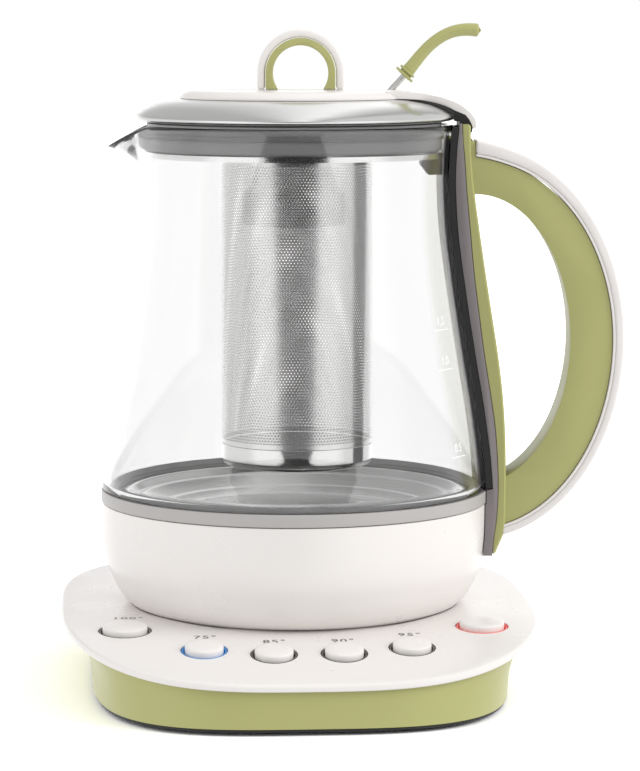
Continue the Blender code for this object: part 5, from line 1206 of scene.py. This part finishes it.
class KETTLE_OT_buttons(KettlePieceOperator, Operator):
    """Builds the button caps, their rings and the numbers printed behind them"""
    bl_idname = "kettle.buttons"
    bl_label = "Buttons"

    def execute(self, context):
        base = context.scene.kettle_base
        turn = base_turn(base)
        for name, x, y, end, ring_finish, number, side, behind in BUTTONS:
            place = button_place(base, x, y)
            cap = END_CAP if end else ROW_CAP
            well = cap + RING_WIDTH
            rise, corner, dome = 2.6 * MM, 0.9 * MM, 0.3 * MM
            profile = [(0.0, rise), (cap * 0.35, rise - dome * 0.15), (cap * 0.65, rise - dome * 0.5),
                       (cap - corner * 1.6, rise - dome)]
            profile += [(cap - corner + corner * math.cos(a), rise - dome * 1.4 - corner + corner * math.sin(a))
                        for a in spread(math.radians(75.0), 0.0, 7)]
            profile += [(cap, -6.4 * MM), (cap + 1.4 * MM, -6.6 * MM), (cap + 1.4 * MM, -7.5 * MM),
                        (1.8 * MM, -7.5 * MM), (1.8 * MM, -8.7 * MM), (0.0, -8.7 * MM)]
            bm = spun(profile, 72, False)
            bmesh.ops.transform(bm, matrix=place, verts=bm.verts)
            piece(f"cap_{name}", bm, "white_abs", f"button_{name}_cap", [f"button_{name}"], turn=turn)

            bore = cap + 0.4 * MM
            profile = [(bore, -1.0 * MM), (bore + 0.2 * MM, -0.4 * MM), (bore + 0.5 * MM, -0.2 * MM),
                       (well - 0.5 * MM, -0.15 * MM), (well - 0.2 * MM, -0.5 * MM),
                       (well - 0.2 * MM, -3.8 * MM), (well + 1.2 * MM, -3.8 * MM),
                       (well + 1.2 * MM, -6.2 * MM), (bore, -6.2 * MM)]
            bm = spun(profile, 72)
            bmesh.ops.transform(bm, matrix=place, verts=bm.verts)
            slot = "grey_abs" if ring_finish == "ring_grey" else ring_finish
            piece(f"glow_{name}", bm, slot, "base", [f"ring_{name}"], finish=ring_finish, turn=turn)
            if number:
                self.number(base, turn, name, number, (x + side) * MM, (y + behind) * MM)
        return {"FINISHED"}

    def number(self, base, turn, name, number, x, y):
        """A temperature, wrapped onto the falling plate behind its button."""
        bm = printed(number, 5.0 * MM, offset=0.09 * MM, spacing=1.2)
        bmesh.ops.scale(bm, verts=bm.verts, vec=(1.1, 1.0, 1.0))
        for vert in bm.verts:
            px, py = x + vert.co.x, y + vert.co.y
            vert.co = (px, py, base.top - plate_fall(base, py) + 0.03 * MM)
        piece(f"number_{name}", bm, "white_abs", "base", finish="print_grey", turn=turn)


class KETTLE_OT_inner_parts(KettlePieceOperator, Operator):
    """Gives the frame's own nodes that stay in view or inside their real finishes"""
    bl_idname = "kettle.inner_parts"
    bl_label = "Inner parts"

    def execute(self, context):
        slots = {row["node"]: row["material_slot"] for row in frame["record"]["subparts"]}
        for name, obj in frame["nodes"].items():
            obj.data.materials.clear()
            obj.data.materials.append(MATERIALS[slots[name]])
        return {"FINISHED"}


# Studio

class KETTLE_OT_studio(KettlePieceOperator, Operator):
    """Sets up the pale floor, the soft lights and the camera"""
    bl_idname = "kettle.studio"
    bl_label = "Studio"

    def execute(self, context):
        scene = context.scene
        studio = scene.kettle_studio
        self.floor()
        self.flag()
        self.world(scene)
        self.lights(scene)
        data = bpy.data.cameras.new("photo_camera")
        data.sensor_fit = "VERTICAL"
        data.sensor_height = 36.0
        data.lens = 36.0 * studio.focal_share
        data.clip_end = 50.0
        camera = bpy.data.objects.new("photo_camera", data)
        camera.location = (KETTLE_X + studio.camera_side, KETTLE_Y - studio.camera_back, studio.camera_height)
        camera.rotation_euler = (math.pi / 2.0 - studio.pitch, 0.0, 0.0)
        scene.collection.objects.link(camera)
        scene.camera = camera
        scene.view_settings.view_transform = "Standard"
        scene.view_settings.look = "None"
        return {"FINISHED"}

    def stage_piece(self, name, bm, mat):
        mesh = bpy.data.meshes.new(name)
        bm.to_mesh(mesh)
        bm.free()
        mesh.materials.append(mat)
        obj = bpy.data.objects.new(name, mesh)
        obj.visible_diffuse = False
        bpy.context.scene.collection.objects.link(obj)
        return obj

    def floor(self):
        """Pale floor, bright enough to read as white wherever nothing shades it."""
        bm = bmesh.new()
        bmesh.ops.create_grid(bm, x_segments=1, y_segments=1, size=1.0)
        bmesh.ops.scale(bm, verts=bm.verts, vec=(5.0, 5.0, 1.0))
        bmesh.ops.translate(bm, verts=bm.verts, vec=(0.0, 4.45, 0.0))
        white = bpy.data.materials.new("white_paper_sweep")
        white.use_nodes = True
        tree = white.node_tree
        paper = node(tree, "ShaderNodeBsdfDiffuse", [("Color", (1.5, 1.5, 1.5, 1.0))])
        tree.links.new(paper.outputs["BSDF"], tree.nodes["Material Output"].inputs["Surface"])
        floor = self.stage_piece("floor", bm, white)
        floor.visible_glossy = False
        floor.visible_transmission = False

    def flag(self):
        """Dark card behind the camera, which shows only in reflections."""
        bm = bmesh.new()
        corners = ((-0.38, -0.6), (0.38, -0.6), (1.67, 0.2), (1.67, 0.35), (-1.67, 0.35), (-1.67, 0.2))
        closed_face(bm, [(x + KETTLE_X, -2.2, z) for x, z in corners])
        flag = self.stage_piece("flag", bm, material("black_flag_cloth", hex_colour("#1C1C1C"), 0.9))
        flag.visible_camera = False
        flag.visible_shadow = False

    # Grey levels of the panels: round the horizon from ahead to behind, and over the top from left to right
    AROUND = ((0.0, 0.95), (0.14, 0.95), (0.26, 0.7), (0.55, 0.7), (0.66, 0.92), (0.8, 0.92), (1.0, 0.8))
    OVERHEAD = ((0.06, 0.43), (0.21, 0.43), (0.36, 0.57), (0.52, 0.81), (0.65, 1.0), (0.79, 0.57),
                (0.88, 0.3), (0.97, 0.6))

    def world(self, scene):
        """White tent: soft panels for reflections, an even level for dull surfaces."""
        world = bpy.data.worlds.new("white_studio")
        world.use_nodes = True
        tree = world.node_tree
        way = node(tree, "ShaderNodeTexCoord")
        parts = node(tree, "ShaderNodeSeparateXYZ", [(0, way.outputs["Generated"])])
        side = node(tree, "ShaderNodeMath", [(0, parts.outputs["X"])], operation="ABSOLUTE")
        turn = node(tree, "ShaderNodeMath", [(0, side.outputs[0]), (1, parts.outputs["Y"])],
                    operation="ARCTAN2")
        share = node(tree, "ShaderNodeMath", [(0, turn.outputs[0]), (1, 1.0 / math.pi)],
                     operation="MULTIPLY")
        across = node(tree, "ShaderNodeMapRange", [("Value", parts.outputs["X"]), ("From Min", -0.4),
                                                  ("From Max", 0.4)])
        levels = []
        for factor, rows in ((share.outputs[0], self.AROUND), (across.outputs["Result"], self.OVERHEAD)):
            ramp = node(tree, "ShaderNodeValToRGB", [("Fac", factor)])
            line = ramp.color_ramp
            line.interpolation = "EASE"
            while len(line.elements) < len(rows):
                line.elements.new(0.5)
            for element, (place, value) in zip(line.elements, rows):
                element.position = place
            for element, (place, value) in zip(line.elements, rows):
                element.color = (value, value, value, 1.0)
            levels.append(ramp.outputs["Color"])
        rise = node(tree, "ShaderNodeMapRange", [("Value", parts.outputs["Z"]), ("From Min", 0.14),
                                                ("From Max", 0.3)], interpolation_type="SMOOTHSTEP")
        panels = node(tree, "ShaderNodeMix", [("Factor", rise.outputs["Result"]), (2, levels[0]),
                                             (3, levels[1])])
        bright = node(tree, "ShaderNodeMath", [(0, panels.outputs[0]), (1, 1.5)], operation="MULTIPLY")
        even = node(tree, "ShaderNodeMapRange", [("Value", parts.outputs["Z"]), ("From Min", -0.1),
                                                ("From Max", 0.1), ("To Min", 0.9), ("To Max", 0.7)])
        path = node(tree, "ShaderNodeLightPath")
        glossy, dull = [node(tree, "ShaderNodeMath", [(0, path.outputs[depth]), (1, 0.5)],
                             operation="GREATER_THAN") for depth in ("Glossy Depth", "Diffuse Depth")]
        first = node(tree, "ShaderNodeMix", [("Factor", glossy.outputs[0]), (2, 1.0),
                                            (3, bright.outputs[0])])
        level = node(tree, "ShaderNodeMix", [("Factor", dull.outputs[0]), (2, first.outputs[0]),
                                            (3, even.outputs["Result"])])
        background = tree.nodes["Background"]
        tree.links.new(level.outputs[0], background.inputs["Strength"])
        background.inputs["Color"].default_value = (1.0, 1.0, 1.0, 1.0)
        world.cycles.sampling_method = "NONE"
        scene.world = world

    # Name, way to the lamp, its apparent width in degrees, and its strength
    SUNS = (("key_right", (0.8, -0.25, 0.5), 35.0, 1.6), ("fill_left", (-0.85, -0.3, 0.35), 60.0, 0.8))

    def lights(self, scene):
        for name, way, angle, power in self.SUNS:
            data = bpy.data.lights.new(name, "SUN")
            data.angle = math.radians(angle)
            data.energy = power
            light = bpy.data.objects.new(name, data)
            light.rotation_euler = Vector(way).to_track_quat("Z", "Y").to_euler()
            light.visible_glossy = False
            light.visible_transmission = False
            scene.collection.objects.link(light)


# Sidebar

class KETTLE_PT_panel(Panel):
    """Lists the sizes, colours and pieces of the kettle"""
    bl_idname = "KETTLE_PT_panel"
    bl_label = "Electric tea kettle"
    bl_space_type = "VIEW_3D"
    bl_region_type = "UI"
    bl_category = "Kettle"

    def draw(self, context):
        for name, group in GROUPS:
            box = self.layout.box()
            box.label(text=name.replace("kettle_", "").capitalize())
            for setting in group.__annotations__:
                box.prop(getattr(context.scene, name), setting)
        for operator in PIECES:
            self.layout.operator(operator.bl_idname)


GROUPS = (
    ("kettle_finishes", KettleFinishes), ("kettle_body", KettleBody), ("kettle_basket", KettleBasket),
    ("kettle_base", KettleBase), ("kettle_studio", KettleStudio),
)
PIECES = (
    KETTLE_OT_inner_parts, KETTLE_OT_glass_jug, KETTLE_OT_level_marks, KETTLE_OT_housing,
    KETTLE_OT_basket, KETTLE_OT_handle, KETTLE_OT_lid, KETTLE_OT_knob, KETTLE_OT_lever,
    KETTLE_OT_base, KETTLE_OT_buttons, KETTLE_OT_studio,
)


def register():
    for name, group in GROUPS:
        bpy.utils.register_class(group)
        setattr(bpy.types.Scene, name, PointerProperty(type=group))
    for operator in PIECES:
        bpy.utils.register_class(operator)
    bpy.utils.register_class(KETTLE_PT_panel)


def unregister():
    bpy.utils.unregister_class(KETTLE_PT_panel)
    for operator in reversed(PIECES):
        bpy.utils.unregister_class(operator)
    for name, group in reversed(GROUPS):
        delattr(bpy.types.Scene, name)
        bpy.utils.unregister_class(group)


def main():
    register()
    MATERIALS.update(make_materials(bpy.context.scene.kettle_finishes))
    for operator in PIECES:
        group, name = operator.bl_idname.split(".")
        getattr(getattr(bpy.ops, group), name)()


if __name__ == "__main__":
    main()
